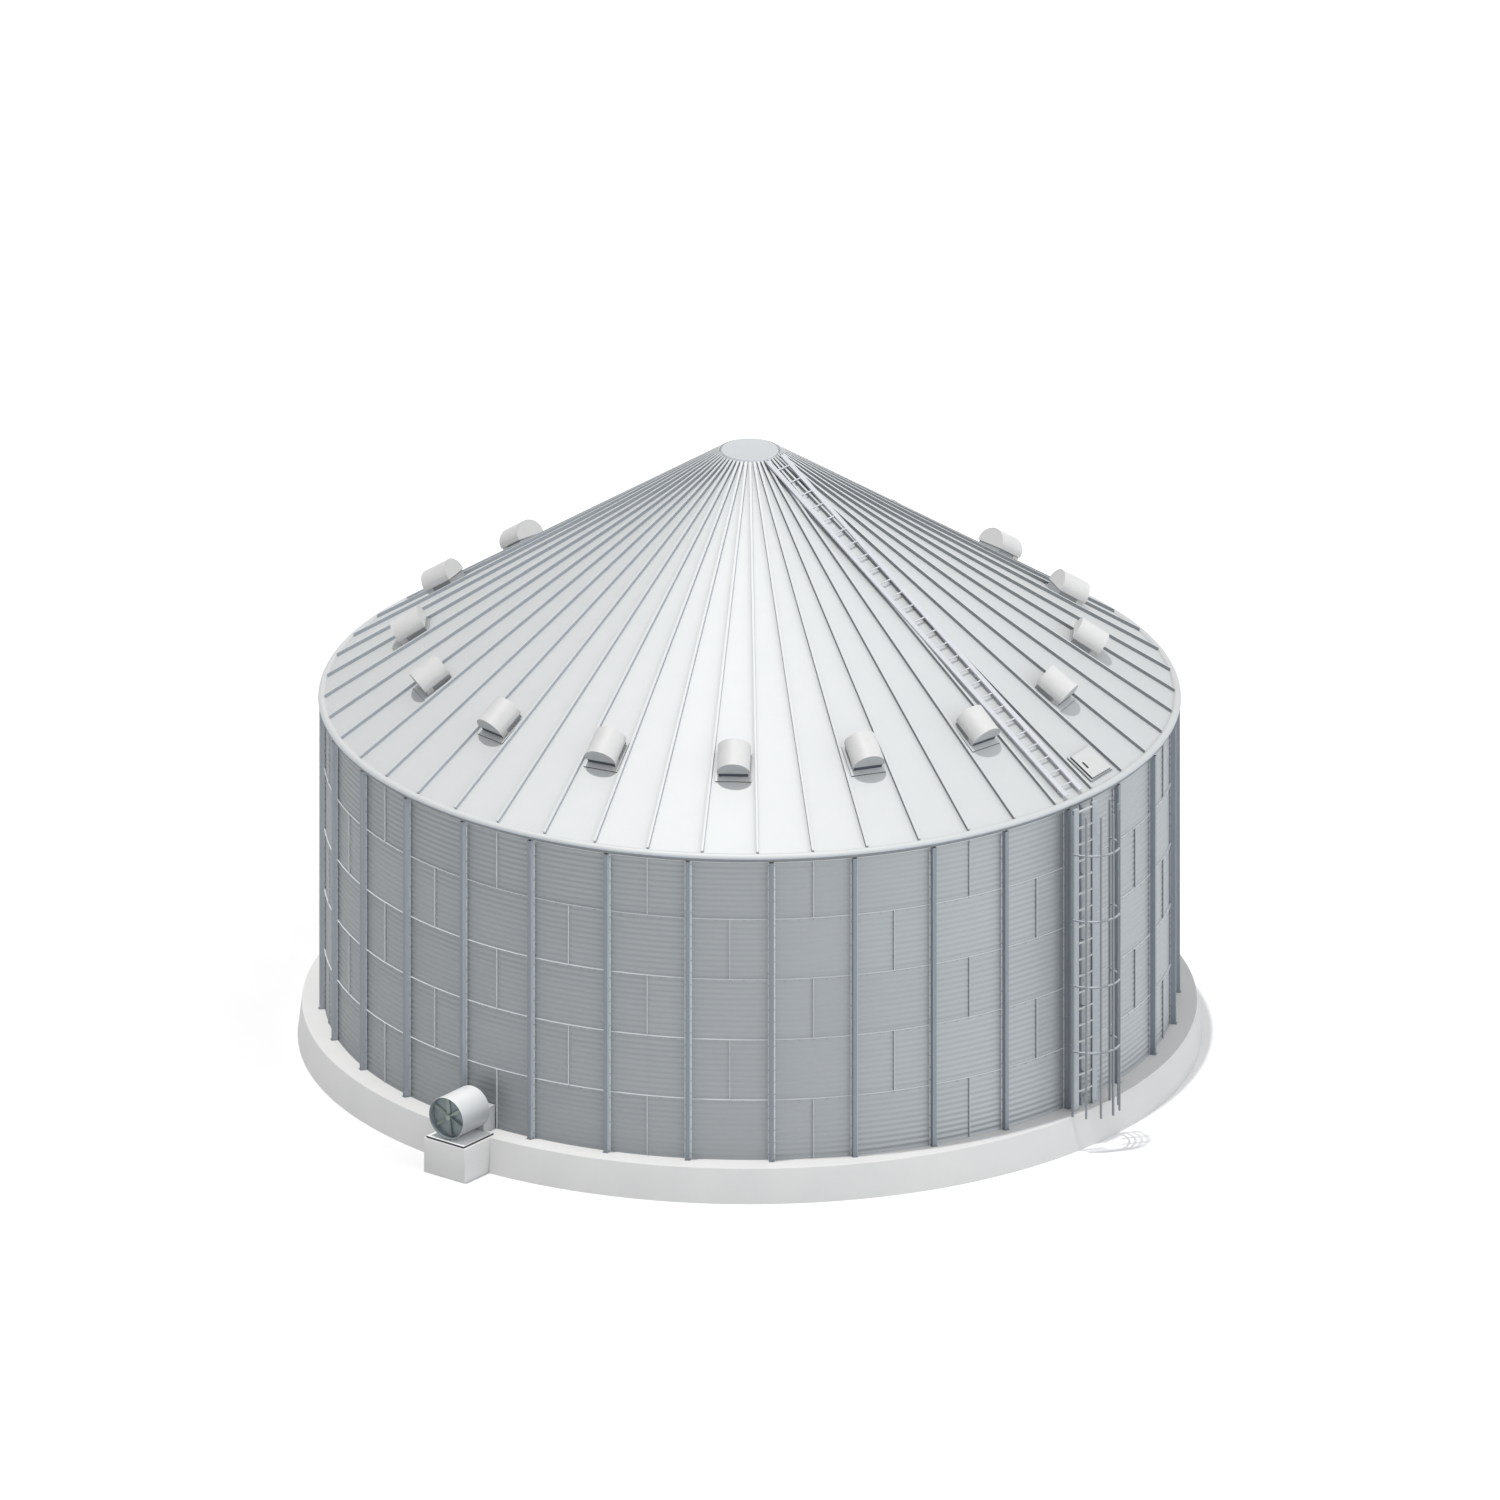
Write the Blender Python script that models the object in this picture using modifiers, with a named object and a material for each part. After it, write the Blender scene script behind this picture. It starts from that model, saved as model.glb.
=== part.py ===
"""Corrugated steel grain silo on a concrete foundation.

Frame: +Z up, metres. The origin is on the silo's axis at ground level. Azimuth 0 looks
along -Y and grows towards +X. A wall piece is modelled with X outwards, Y sideways (the
way azimuth grows) and Z up. A roof piece has X down the slope, Y sideways and Z out of
the roof.
"""

import math

import bmesh
import bpy
from mathutils import Matrix, Vector

# Gap kept between pieces that touch.
GAP = 0.0003

# How far a cutter reaches past the piece that it cuts.
OVERCUT = 0.1

# Faces that meet at less than this angle are shaded smooth.
SMOOTH_ANGLE = 30

# Foundation.
FOUNDATION_HEIGHT = 0.635
FOUNDATION_BOTTOM_RADIUS = 7.775
FOUNDATION_TOP_RADIUS = 7.70
FOUNDATION_SIDES = 96

# Wall: five rings of corrugated sheet.
RING_COUNT = 5
RING_HEIGHT = 1.1176
WALL_RADIUS = 7.315
WALL_THICKNESS = 0.022
WALL_HEIGHT = RING_COUNT * RING_HEIGHT
SEGMENT_COUNT = 8
SEGMENT_ANGLE = 360 / SEGMENT_COUNT
FIRST_BOUNDARY = 11.25
WALL_STEPS = 12

# Stiffeners on the outside of the wall.
STIFFENER_PITCH = 11.25
FIRST_STIFFENER = 16.875
STIFFENERS_PER_SEGMENT = 4
STIFFENER_RADIUS = 7.41
STIFFENER_WIDTH = 0.077
STIFFENER_FLANGE_WIDTH = 0.13
STIFFENER_FLANGE_RADIUS = 7.321
STIFFENER_ROOT = 7.30

# Eave ring, a tube that closes the joint of wall and roof.
EAVE_TUBE_RADIUS = 0.0765
EAVE_CENTRE_RADIUS = 7.345
EAVE_CENTRE_HEIGHT = 5.617
EAVE_INNER_RADIUS = 7.24
EAVE_NOTCH_RADIUS = 7.3127
EAVE_ARC_STEPS = 8

# Roof: a cone of flat panels between standing ribs.
RIB_COUNT = 48
RIB_PITCH = 360 / RIB_COUNT
RIDGE_SLOPE_TAN = 0.661
RIDGE_APEX_HEIGHT = 10.494
ROOF_THICKNESS = 0.025
ROOF_INNER_RADIUS = 0.43
RIB_HEIGHT = 0.058
RIB_WIDTH = 0.045
RIB_ROOT = 0.02
RIB_INNER_RADIUS = 0.50
RIB_OUTER_RADIUS = 7.29
SEAM_OFFSET = 0.03

# Peak cap.
CAP_RADIUS = 0.49
CAP_TOP_HEIGHT = 10.225
CAP_PLUG_HEIGHT = 10.11

# Roof vents.
VENT_COUNT = 16
VENT_FRONT_RADIUS = 6.04
VENT_FLANGE_SIDE = 0.63
VENT_FLANGE_THICKNESS = 0.012
VENT_CURB_SIDE = 0.52
VENT_CURB_INSET = 0.01
VENT_CURB_HEIGHT = 0.09
VENT_SCREEN_SIDE = 0.49
VENT_SCREEN_INSET = 0.025
VENT_SKIRT_HEIGHT = 0.20
VENT_HOOD_WIDTH = 0.57
VENT_HOOD_LENGTH = 0.57
VENT_ARC_SPRING = 0.27
VENT_ARC_RISE = 0.20
VENT_ARC_STEPS = 10

# Ladders share one azimuth and one rung pitch.
LADDER_AZIMUTH = 52.5
RUNG_PITCH = 0.3048

# Roof ladder, lying on the ribs.
ROOF_LADDER_WIDTH = 0.495
ROOF_RAIL_WIDTH = 0.075
ROOF_RAIL_THICKNESS = 0.03
ROOF_LADDER_INNER_RADIUS = 0.53
ROOF_LADDER_OUTER_RADIUS = 7.25
ROOF_RUNG_SECTION = 0.022
ROOF_FOOT_RADII = (4.9, 6.0, 7.1)
ROOF_FOOT_LENGTH = 0.05
ROOF_FOOT_INSET = 0.02
FIRST_ROOF_RUNG = 0.2286

# Wall ladder.
RAIL_SPACING = 0.486
RAIL_WIDTH = 0.13
RAIL_INNER_RADIUS = 7.523
RAIL_OUTER_RADIUS = 7.568
RUNG_SECTION = 0.032
RUNG_RADIUS = 7.550
FIRST_RUNG_HEIGHT = 0.335
RUNG_COUNT = 18
SPINE_INNER_RADIUS = 7.428
SPINE_OUTER_RADIUS = 7.466
SPINE_WIDTH = 0.034
FIRST_TIED_RUNG = 1
TIE_EVERY = 4
TIE_SECTION = 0.024

# Safety cage around the wall ladder. The feet of its two end bars stand on the slab's rim.
CAGE_CENTRE_RADIUS = 7.69
CAGE_RADIUS = 0.494
CAGE_BAR_COUNT = 7
CAGE_BAR_SIDE = 0.034
HOOP_TUBE_RADIUS = 0.0163
HOOP_COUNT = 4
HOOP_PITCH = 1.219
HOOP_STEPS = 12

# Roof hatch beside the ladder.
HATCH_AZIMUTH = 60.0
HATCH_CENTRE_RADIUS = 6.942
HATCH_FRAME_LENGTH = 0.584
HATCH_FRAME_WIDTH = 0.68
HATCH_FRAME_HEIGHT = 0.035
HATCH_HOLE_LENGTH = 0.42
HATCH_HOLE_WIDTH = 0.46
HATCH_LID_LENGTH = 0.533
HATCH_LID_WIDTH = 0.582
HATCH_LID_OFFSET = -0.012
HATCH_LID_THICKNESS = 0.035
HANDLE_RECESS_LENGTH = 0.142
HANDLE_RECESS_WIDTH = 0.032
HANDLE_RECESS_DEPTH = 0.014
HANDLE_OFFSET = -0.186
HINGE_OFFSET = 0.295
HINGE_HEIGHT = 0.050
HINGE_BARREL_RADIUS = 0.011
HINGE_PIN_RADIUS = 0.005
HINGE_PIN_OVERLAP = 0.02
HINGE_BORE_RADIUS = 0.0056
HINGE_BARREL_LENGTH = 0.06
HINGE_BARREL_OFFSET = 0.09
HINGE_LUG_THICKNESS = 0.016
STRAP_THICKNESS = 0.010
STRAP_OVERLAP = 0.02
LID_BARREL_LENGTH = 0.10
HINGE_SIDES = 12

# Aeration fan, its pad and its duct.
FAN_AZIMUTH = -36.0
PAD_WIDTH = 0.90
PAD_INNER_RADIUS = 7.60
PAD_OUTER_RADIUS = 8.405
PLATE_WIDTH = 0.82
PLATE_INNER_RADIUS = 7.56
PLATE_OUTER_RADIUS = 8.385
PLATE_THICKNESS = 0.036
FAN_AXIS_HEIGHT = 0.45
HOUSING_RADIUS = 0.374
HOUSING_SHEET = 0.010
HOUSING_FRONT_RADIUS = 8.354
HOUSING_BACK_RADIUS = 7.628
HOUSING_SIDES = 32
RIM_WIDTH = 0.012
RIM_LENGTH = 0.03
SADDLE_WIDTH = 0.05
SADDLE_LENGTH = 0.12
SADDLE_OFFSETS = (7.72, 8.26)
MOTOR_RADIUS = 0.10
MOTOR_LENGTH = 0.26
MOTOR_FRONT_RADIUS = 8.20
MOTOR_SIDES = 16
STRUT_WIDTH = 0.03
STRUT_THICKNESS = 0.012
STRUT_ANGLES = (45, 135)
SHAFT_RADIUS = 0.018
SHAFT_END_RADIUS = 8.285
SHAFT_ROOT = 0.02
SHAFT_END_CLEARANCE = 0.002
ROTOR_BORE_RADIUS = 0.0186
HUB_RADIUS = 0.055
HUB_BACK_RADIUS = 8.225
HUB_FRONT_RADIUS = 8.315
BLADE_COUNT = 6
BLADE_START_ANGLE = 6.0
BLADE_INNER = 0.045
BLADE_OUTER = 0.345
BLADE_CHORD = 0.13
BLADE_THICKNESS = 0.006
BLADE_PITCH = 24.0
DUCT_WIDTH = 0.50
DUCT_HEIGHT = 0.44
DUCT_SHEET = 0.010
DUCT_INNER_RADIUS = 7.3153
WALL_PORT_WIDTH = 0.46
WALL_PORT_TOP = 0.40
WALL_PORT_BOTTOM = 0.07
HOUSING_PORT_BOTTOM = 0.17

RIDGE_SLOPE = math.atan(RIDGE_SLOPE_TAN)
PANEL_SLOPE = math.atan(RIDGE_SLOPE_TAN / math.cos(math.radians(RIB_PITCH / 2)))


def clear_scene():
    for item in list(bpy.data.objects):
        bpy.data.objects.remove(item, do_unlink=True)


def new_collection(name):
    collection = bpy.data.collections.new(name)
    bpy.context.scene.collection.children.link(collection)
    return collection


def new_material(name, colour, roughness, metallic):
    material = bpy.data.materials.new(name)
    material.use_nodes = True
    shader = material.node_tree.nodes["Principled BSDF"]
    shader.inputs["Base Color"].default_value = (*colour, 1.0)
    shader.inputs["Roughness"].default_value = roughness
    shader.inputs["Metallic"].default_value = metallic
    return material


def wall_frame(azimuth):
    """X outwards, Y sideways and Z up at an azimuth, from the foundation's top."""
    turn = Matrix.Rotation(math.radians(azimuth - 90), 4, "Z")
    return Matrix.Translation((0, 0, FOUNDATION_HEIGHT)) @ turn


def panel_height(radius):
    """Height of a flat roof panel's middle line above the foundation's top."""
    return RIDGE_APEX_HEIGHT - math.tan(PANEL_SLOPE) * radius


def roof_frame(azimuth, radius):
    """X down the slope, Y sideways and Z out of the panel, at its middle line."""
    place = Matrix.Translation((radius, 0, panel_height(radius)))
    return wall_frame(azimuth) @ place @ Matrix.Rotation(PANEL_SLOPE, 4, "Y")


def link_mesh(name, mesh, collection):
    item = bpy.data.objects.new(name, mesh)
    collection.objects.link(item)
    return item


def block(name, x, y, z):
    """A box between two values on each axis, kept with the construction pieces."""
    mesh = bpy.data.meshes.new(name)
    shape = bmesh.new()
    middle = Vector((sum(x) / 2, sum(y) / 2, sum(z) / 2))
    sides = Matrix.Diagonal((x[1] - x[0], y[1] - y[0], z[1] - z[0], 1))
    bmesh.ops.create_cube(shape, size=1, matrix=Matrix.Translation(middle) @ sides)
    shape.to_mesh(mesh)
    shape.free()
    return link_mesh(name, mesh, construction)


def rod(name, radius, start, end, sides):
    """A round bar between two points."""
    start = Vector(start)
    end = Vector(end)
    along = end - start
    turn = along.to_track_quat("Z", "Y").to_matrix().to_4x4()
    mesh = bpy.data.meshes.new(name)
    shape = bmesh.new()
    bmesh.ops.create_cone(
        shape, cap_ends=True, segments=sides, radius1=radius, radius2=radius,
        depth=along.length, matrix=Matrix.Translation((start + end) / 2) @ turn)
    shape.to_mesh(mesh)
    shape.free()
    return link_mesh(name, mesh, construction)


def outline_mesh(name, points, closed):
    """A profile in the XZ plane for a Screw modifier."""
    mesh = bpy.data.meshes.new(name)
    edges = [(i, i + 1) for i in range(len(points) - 1)]
    if closed:
        edges.append((len(points) - 1, 0))
    mesh.from_pydata([(x, 0, z) for x, z in points], edges, [])
    return mesh


def turned(name, points, closed, angle, steps):
    """A profile turned about Z, counter-clockwise from the X axis."""
    item = link_mesh(name, outline_mesh(name, points, closed), construction)
    screw = item.modifiers.new("turn", "SCREW")
    screw.axis = "Z"
    screw.angle = math.radians(angle)
    screw.steps = steps
    screw.render_steps = steps
    screw.use_merge_vertices = angle == 360
    screw.merge_threshold = 0.0001
    return item


def boolean(item, other, operation):
    other.hide_render = True
    other.display_type = "WIRE"
    modifier = item.modifiers.new(operation.lower(), "BOOLEAN")
    modifier.operation = operation
    modifier.object = other
    modifier.solver = "EXACT"


def finished(item, name):
    """The piece's evaluated mesh, free of its modifiers and in its own place."""
    bpy.context.view_layer.update()
    evaluated = item.evaluated_get(bpy.context.evaluated_depsgraph_get())
    mesh = bpy.data.meshes.new_from_object(evaluated)
    mesh.name = name
    mesh.transform(item.matrix_world)
    return mesh


def fused(name, pieces, cuts=()):
    """One mesh from overlapping pieces, less the cuts. The pieces are used up."""
    body = pieces[0]
    for other in pieces[1:]:
        boolean(body, other, "UNION")
    for other in cuts:
        boolean(body, other, "DIFFERENCE")
    mesh = finished(body, name)
    for item in (*pieces, *cuts):
        bpy.data.objects.remove(item, do_unlink=True)
    return mesh


def part(name, mesh, material, matrix):
    """A finished sub-part in its place."""
    if not mesh.materials:
        mesh.materials.append(material)
    item = link_mesh(name, mesh, silo)
    item.matrix_world = matrix
    return item


def smooth(item):
    item.data.shade_smooth()
    item.data.set_sharp_from_angle(angle=math.radians(SMOOTH_ANGLE))


def foundation_body(name, grow):
    """The tapered disc, grown by a gap when it is used as a cutter."""
    mesh = bpy.data.meshes.new(name)
    shape = bmesh.new()
    bmesh.ops.create_cone(
        shape, cap_ends=True, segments=FOUNDATION_SIDES,
        radius1=FOUNDATION_BOTTOM_RADIUS + grow, radius2=FOUNDATION_TOP_RADIUS + grow,
        depth=FOUNDATION_HEIGHT, matrix=Matrix.Translation((0, 0, FOUNDATION_HEIGHT / 2)))
    shape.to_mesh(mesh)
    shape.free()
    return link_mesh(name, mesh, construction)


def build_foundation():
    mesh = fused("foundation", [foundation_body("foundation_body", 0)])
    smooth(part("foundation", mesh, concrete, Matrix.Identity(4)))

    # The fan pad is cast against the tapered side.
    pad = block(
        "pad_body", (PAD_INNER_RADIUS, PAD_OUTER_RADIUS), (-PAD_WIDTH / 2, PAD_WIDTH / 2),
        (-FOUNDATION_HEIGHT, 0))
    disc = foundation_body("pad_cutter", GAP * 2)
    disc.matrix_world = wall_frame(FAN_AZIMUTH).inverted()
    part("fan_pad", fused("fan_pad", [pad], [disc]), concrete, wall_frame(FAN_AZIMUTH))


def stiffener_pieces(azimuth, height):
    turn = Matrix.Rotation(math.radians(azimuth), 4, "Z")
    hat = block(
        "hat", (STIFFENER_ROOT, STIFFENER_RADIUS), (-STIFFENER_WIDTH / 2, STIFFENER_WIDTH / 2),
        (GAP, height))
    flange = block(
        "flange", (STIFFENER_ROOT, STIFFENER_FLANGE_RADIUS),
        (-STIFFENER_FLANGE_WIDTH / 2, STIFFENER_FLANGE_WIDTH / 2), (GAP, height))
    for item in (hat, flange):
        item.matrix_world = turn
    return [flange, hat]


def boundary_cutters(offset):
    """Two boxes that trim an eighth at its first and last boundaries.

    A boundary is moved sideways by the offset, and half a gap is kept on each side of it.
    """
    reach = FOUNDATION_BOTTOM_RADIUS
    heights = (-1, RIDGE_APEX_HEIGHT + 1)
    before = block("before", (-1, reach), (-reach, offset + GAP / 2), heights)
    after = block("after", (-1, reach), (offset - GAP / 2, reach), heights)
    after.matrix_world = Matrix.Rotation(math.radians(SEGMENT_ANGLE), 4, "Z")
    return [before, after]


def wall_mesh(name, cuts):
    """One eighth of the wall with its stiffeners, from its first boundary on."""
    top = EAVE_CENTRE_HEIGHT - EAVE_TUBE_RADIUS - GAP
    profile = [(WALL_RADIUS, top), (WALL_RADIUS, GAP)]
    step = SEGMENT_ANGLE / WALL_STEPS
    sheet = turned("sheet", profile, False, SEGMENT_ANGLE + 2 * step, WALL_STEPS + 2)
    sheet.matrix_world = Matrix.Rotation(-math.radians(step), 4, "Z")
    solid = sheet.modifiers.new("thickness", "SOLIDIFY")
    solid.thickness = WALL_THICKNESS
    solid.offset = -1
    pieces = [sheet]
    for number in range(STIFFENERS_PER_SEGMENT):
        azimuth = FIRST_STIFFENER - FIRST_BOUNDARY + number * STIFFENER_PITCH
        pieces.extend(stiffener_pieces(azimuth, top))
    return fused(name, pieces, [*boundary_cutters(0), *cuts])


def build_walls():
    plain = wall_mesh("wall_sheet", [])
    for number in range(SEGMENT_COUNT):
        boundary = FIRST_BOUNDARY + number * SEGMENT_ANGLE
        fan_offset = (FAN_AZIMUTH - boundary) % 360
        mesh = plain
        if fan_offset < SEGMENT_ANGLE:
            port = block(
                "port", (WALL_RADIUS - OVERCUT, WALL_RADIUS + OVERCUT),
                (-WALL_PORT_WIDTH / 2, WALL_PORT_WIDTH / 2), (WALL_PORT_BOTTOM, WALL_PORT_TOP))
            port.matrix_world = Matrix.Rotation(math.radians(fan_offset), 4, "Z")
            mesh = wall_mesh("wall_with_port", [port])
        part(f"wall_{number + 1:02d}", mesh, galvanised, wall_frame(boundary))


def ridge_height(radius):
    return RIDGE_APEX_HEIGHT - RIDGE_SLOPE_TAN * radius


def build_eave_ring():
    seat_drop = ROOF_THICKNESS / math.cos(RIDGE_SLOPE) + GAP
    notch_angle = math.degrees(
        math.acos((EAVE_CENTRE_RADIUS - EAVE_NOTCH_RADIUS) / EAVE_TUBE_RADIUS))
    first = 180 - notch_angle
    points = []
    for step in range(EAVE_ARC_STEPS + 1):
        angle = math.radians(first - (first + 90) * step / EAVE_ARC_STEPS)
        points.append((
            EAVE_CENTRE_RADIUS + EAVE_TUBE_RADIUS * math.cos(angle),
            EAVE_CENTRE_HEIGHT + EAVE_TUBE_RADIUS * math.sin(angle)))
    points.append((EAVE_INNER_RADIUS, EAVE_CENTRE_HEIGHT - EAVE_TUBE_RADIUS))
    points.append((EAVE_INNER_RADIUS, ridge_height(EAVE_INNER_RADIUS) - seat_drop))
    points.append((EAVE_NOTCH_RADIUS, ridge_height(EAVE_NOTCH_RADIUS) - seat_drop))
    ring = turned("ring", points, True, 360, RIB_COUNT)
    mesh = fused("eave_ring", [ring])
    smooth(part("eave_ring", mesh, galvanised, wall_frame(RIB_PITCH / 2)))


def sector_mesh(name, cuts):
    """One eighth of the roof, from the rib before its first panel to its last rib.

    The joint runs beside a rib, so the first rib belongs to the neighbour.
    """
    panels = RIB_COUNT // SEGMENT_COUNT
    outer = EAVE_NOTCH_RADIUS - GAP
    profile = [(ROOF_INNER_RADIUS, ridge_height(ROOF_INNER_RADIUS)), (outer, ridge_height(outer))]
    sheet = turned("panels", profile, False, RIB_PITCH * (panels + 1), panels + 1)
    solid = sheet.modifiers.new("thickness", "SOLIDIFY")
    solid.thickness = ROOF_THICKNESS
    solid.offset = -1
    solid.use_even_offset = True
    pieces = [sheet]
    length = (RIB_OUTER_RADIUS - RIB_INNER_RADIUS) / math.cos(RIDGE_SLOPE)
    for number in range(1, panels + 1):
        rib = block("rib", (0, length), (-RIB_WIDTH / 2, RIB_WIDTH / 2), (-RIB_ROOT, RIB_HEIGHT))
        place = Matrix.Translation((RIB_INNER_RADIUS, 0, ridge_height(RIB_INNER_RADIUS)))
        turn = Matrix.Rotation(math.radians(number * RIB_PITCH), 4, "Z")
        rib.matrix_world = turn @ place @ Matrix.Rotation(RIDGE_SLOPE, 4, "Y")
        pieces.append(rib)
    return fused(name, pieces, [*boundary_cutters(SEAM_OFFSET), *cuts])


def build_roof():
    plain = sector_mesh("roof_panels", [])
    for number in range(SEGMENT_COUNT):
        boundary = FIRST_BOUNDARY + number * SEGMENT_ANGLE
        mesh = plain
        if 0 < (HATCH_AZIMUTH - boundary) % 360 < SEGMENT_ANGLE:
            way = hatch_hole("roof_hole")
            way.matrix_world = wall_frame(boundary).inverted() @ roof_frame(
                HATCH_AZIMUTH, HATCH_CENTRE_RADIUS)
            mesh = sector_mesh("roof_panels_with_hatch", [way])
        part(f"roof_{number + 1:02d}", mesh, roof_steel, wall_frame(boundary))


def build_peak_cap():
    plug_radius = ROOF_INNER_RADIUS - ROOF_THICKNESS * math.sin(RIDGE_SLOPE) - GAP * 3
    seat_height = ridge_height(ROOF_INNER_RADIUS) + GAP * 2
    points = [
        (0, CAP_TOP_HEIGHT),
        (CAP_RADIUS, CAP_TOP_HEIGHT),
        (CAP_RADIUS, ridge_height(CAP_RADIUS) + GAP * 2),
        (ROOF_INNER_RADIUS, seat_height),
        (plug_radius, seat_height),
        (plug_radius, CAP_PLUG_HEIGHT),
        (0, CAP_PLUG_HEIGHT),
    ]
    cap = turned("cap", points, False, 360, RIB_COUNT)
    part("peak_cap", fused("peak_cap", [cap]), roof_steel, wall_frame(RIB_PITCH / 2))


def hood_mesh(name):
    """A half-round hood: straight skirts and a low arch, running up the slope."""
    half = VENT_HOOD_WIDTH / 2
    radius = (half * half + VENT_ARC_RISE * VENT_ARC_RISE) / (2 * VENT_ARC_RISE)
    centre = VENT_ARC_SPRING + VENT_ARC_RISE - radius
    first = math.asin(half / radius)
    points = [(-half, VENT_SKIRT_HEIGHT)]
    for step in range(VENT_ARC_STEPS + 1):
        angle = first * (2 * step / VENT_ARC_STEPS - 1)
        points.append((radius * math.sin(angle), centre + radius * math.cos(angle)))
    points.append((half, VENT_SKIRT_HEIGHT))

    curve = bpy.data.curves.new(name, "CURVE")
    curve.dimensions = "2D"
    curve.fill_mode = "BOTH"
    curve.extrude = VENT_HOOD_LENGTH / 2
    spline = curve.splines.new("POLY")
    spline.points.add(len(points) - 1)
    for point, (side, height) in zip(spline.points, points):
        point.co = (side, height, 0, 1)
    spline.use_cyclic_u = True
    flat = bpy.data.objects.new(name, curve)
    construction.objects.link(flat)

    # The outline's own X runs sideways, its Y out of the roof and its depth up the slope.
    columns = Matrix(((0, 0, 1, -VENT_HOOD_LENGTH / 2), (1, 0, 0, 0), (0, 1, 0, 0), (0, 0, 0, 1)))
    flat.matrix_world = columns
    mesh = finished(flat, name)
    bpy.data.objects.remove(flat, do_unlink=True)
    shape = bmesh.new()
    shape.from_mesh(mesh)
    bmesh.ops.remove_doubles(shape, verts=shape.verts, dist=0.00001)
    bmesh.ops.recalc_face_normals(shape, faces=shape.faces)
    shape.to_mesh(mesh)
    shape.free()
    return link_mesh(name, mesh, construction)


def vent_mesh():
    """One vent with its lower end at x = 0, seated on the panel."""
    def centred(side, front):
        return (-front - side, -front), (-side / 2, side / 2)

    flange_x, flange_y = centred(VENT_FLANGE_SIDE, 0)
    curb_x, curb_y = centred(VENT_CURB_SIDE, VENT_CURB_INSET)
    screen_x, screen_y = centred(VENT_SCREEN_SIDE, VENT_SCREEN_INSET)
    flange = block("flange", flange_x, flange_y, (GAP, VENT_FLANGE_THICKNESS))
    curb = block("curb", curb_x, curb_y, (VENT_FLANGE_THICKNESS / 2, VENT_CURB_HEIGHT))
    screen = block("screen", screen_x, screen_y, (VENT_CURB_HEIGHT / 2, VENT_ARC_SPRING))
    return fused("roof_vent", [flange, curb, screen, hood_mesh("hood")])


def build_vents():
    mesh = vent_mesh()
    for number in range(VENT_COUNT):
        azimuth = number * 360 / VENT_COUNT
        matrix = roof_frame(azimuth, VENT_FRONT_RADIUS)
        smooth(part(f"roof_vent_{number + 1:02d}", mesh, vent_steel, matrix))


def build_roof_ladder():
    bottom = RIB_HEIGHT + GAP * 5
    top = bottom + ROOF_RAIL_THICKNESS
    stretch = 1 / math.cos(PANEL_SLOPE)
    length = (ROOF_LADDER_OUTER_RADIUS - ROOF_LADDER_INNER_RADIUS) * stretch
    outer = ROOF_LADDER_WIDTH / 2
    inner = outer - ROOF_RAIL_WIDTH
    pieces = [
        block("rail_left", (0, length), (-outer, -inner), (bottom, top)),
        block("rail_right", (0, length), (inner, outer), (bottom, top)),
    ]
    middle = (bottom + top) / 2
    half = ROOF_RUNG_SECTION / 2
    for number in range(int(length / RUNG_PITCH)):
        along = FIRST_ROOF_RUNG + number * RUNG_PITCH
        pieces.append(block(
            "rung", (along - half, along + half), (-inner - half, inner + half),
            (middle - half, middle + half)))
    for radius in ROOF_FOOT_RADII:
        along = (radius - ROOF_LADDER_INNER_RADIUS) * stretch
        for side in (-1, 1):
            low, high = sorted((side * (inner + ROOF_FOOT_INSET), side * (outer - ROOF_FOOT_INSET)))
            pieces.append(block(
                "foot", (along, along + ROOF_FOOT_LENGTH), (low, high), (GAP, middle)))
    matrix = roof_frame(LADDER_AZIMUTH, ROOF_LADDER_INNER_RADIUS)
    part("roof_ladder", fused("roof_ladder", pieces), galvanised, matrix)


def build_wall_ladder():
    pieces = []
    for side in (-1, 1):
        middle = side * RAIL_SPACING / 2
        pieces.append(block(
            "rail", (RAIL_INNER_RADIUS, RAIL_OUTER_RADIUS),
            (middle - RAIL_WIDTH / 2, middle + RAIL_WIDTH / 2), (GAP, WALL_HEIGHT)))
    reach = RAIL_SPACING / 2 - RAIL_WIDTH / 4
    half = RUNG_SECTION / 2
    for number in range(RUNG_COUNT):
        height = FIRST_RUNG_HEIGHT + number * RUNG_PITCH
        pieces.append(block(
            "rung", (RUNG_RADIUS - half, RUNG_RADIUS + half), (-reach, reach),
            (height - half, height + half)))
        if number % TIE_EVERY == FIRST_TIED_RUNG:
            pieces.append(block(
                "tie", (SPINE_INNER_RADIUS + half, RUNG_RADIUS),
                (-TIE_SECTION / 2, TIE_SECTION / 2),
                (height - TIE_SECTION / 2, height + TIE_SECTION / 2)))
    pieces.append(block(
        "spine", (SPINE_INNER_RADIUS, SPINE_OUTER_RADIUS), (-SPINE_WIDTH / 2, SPINE_WIDTH / 2),
        (GAP, WALL_HEIGHT)))
    mesh = fused("wall_ladder", pieces)
    part("wall_ladder", mesh, galvanised, wall_frame(LADDER_AZIMUTH))


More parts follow.
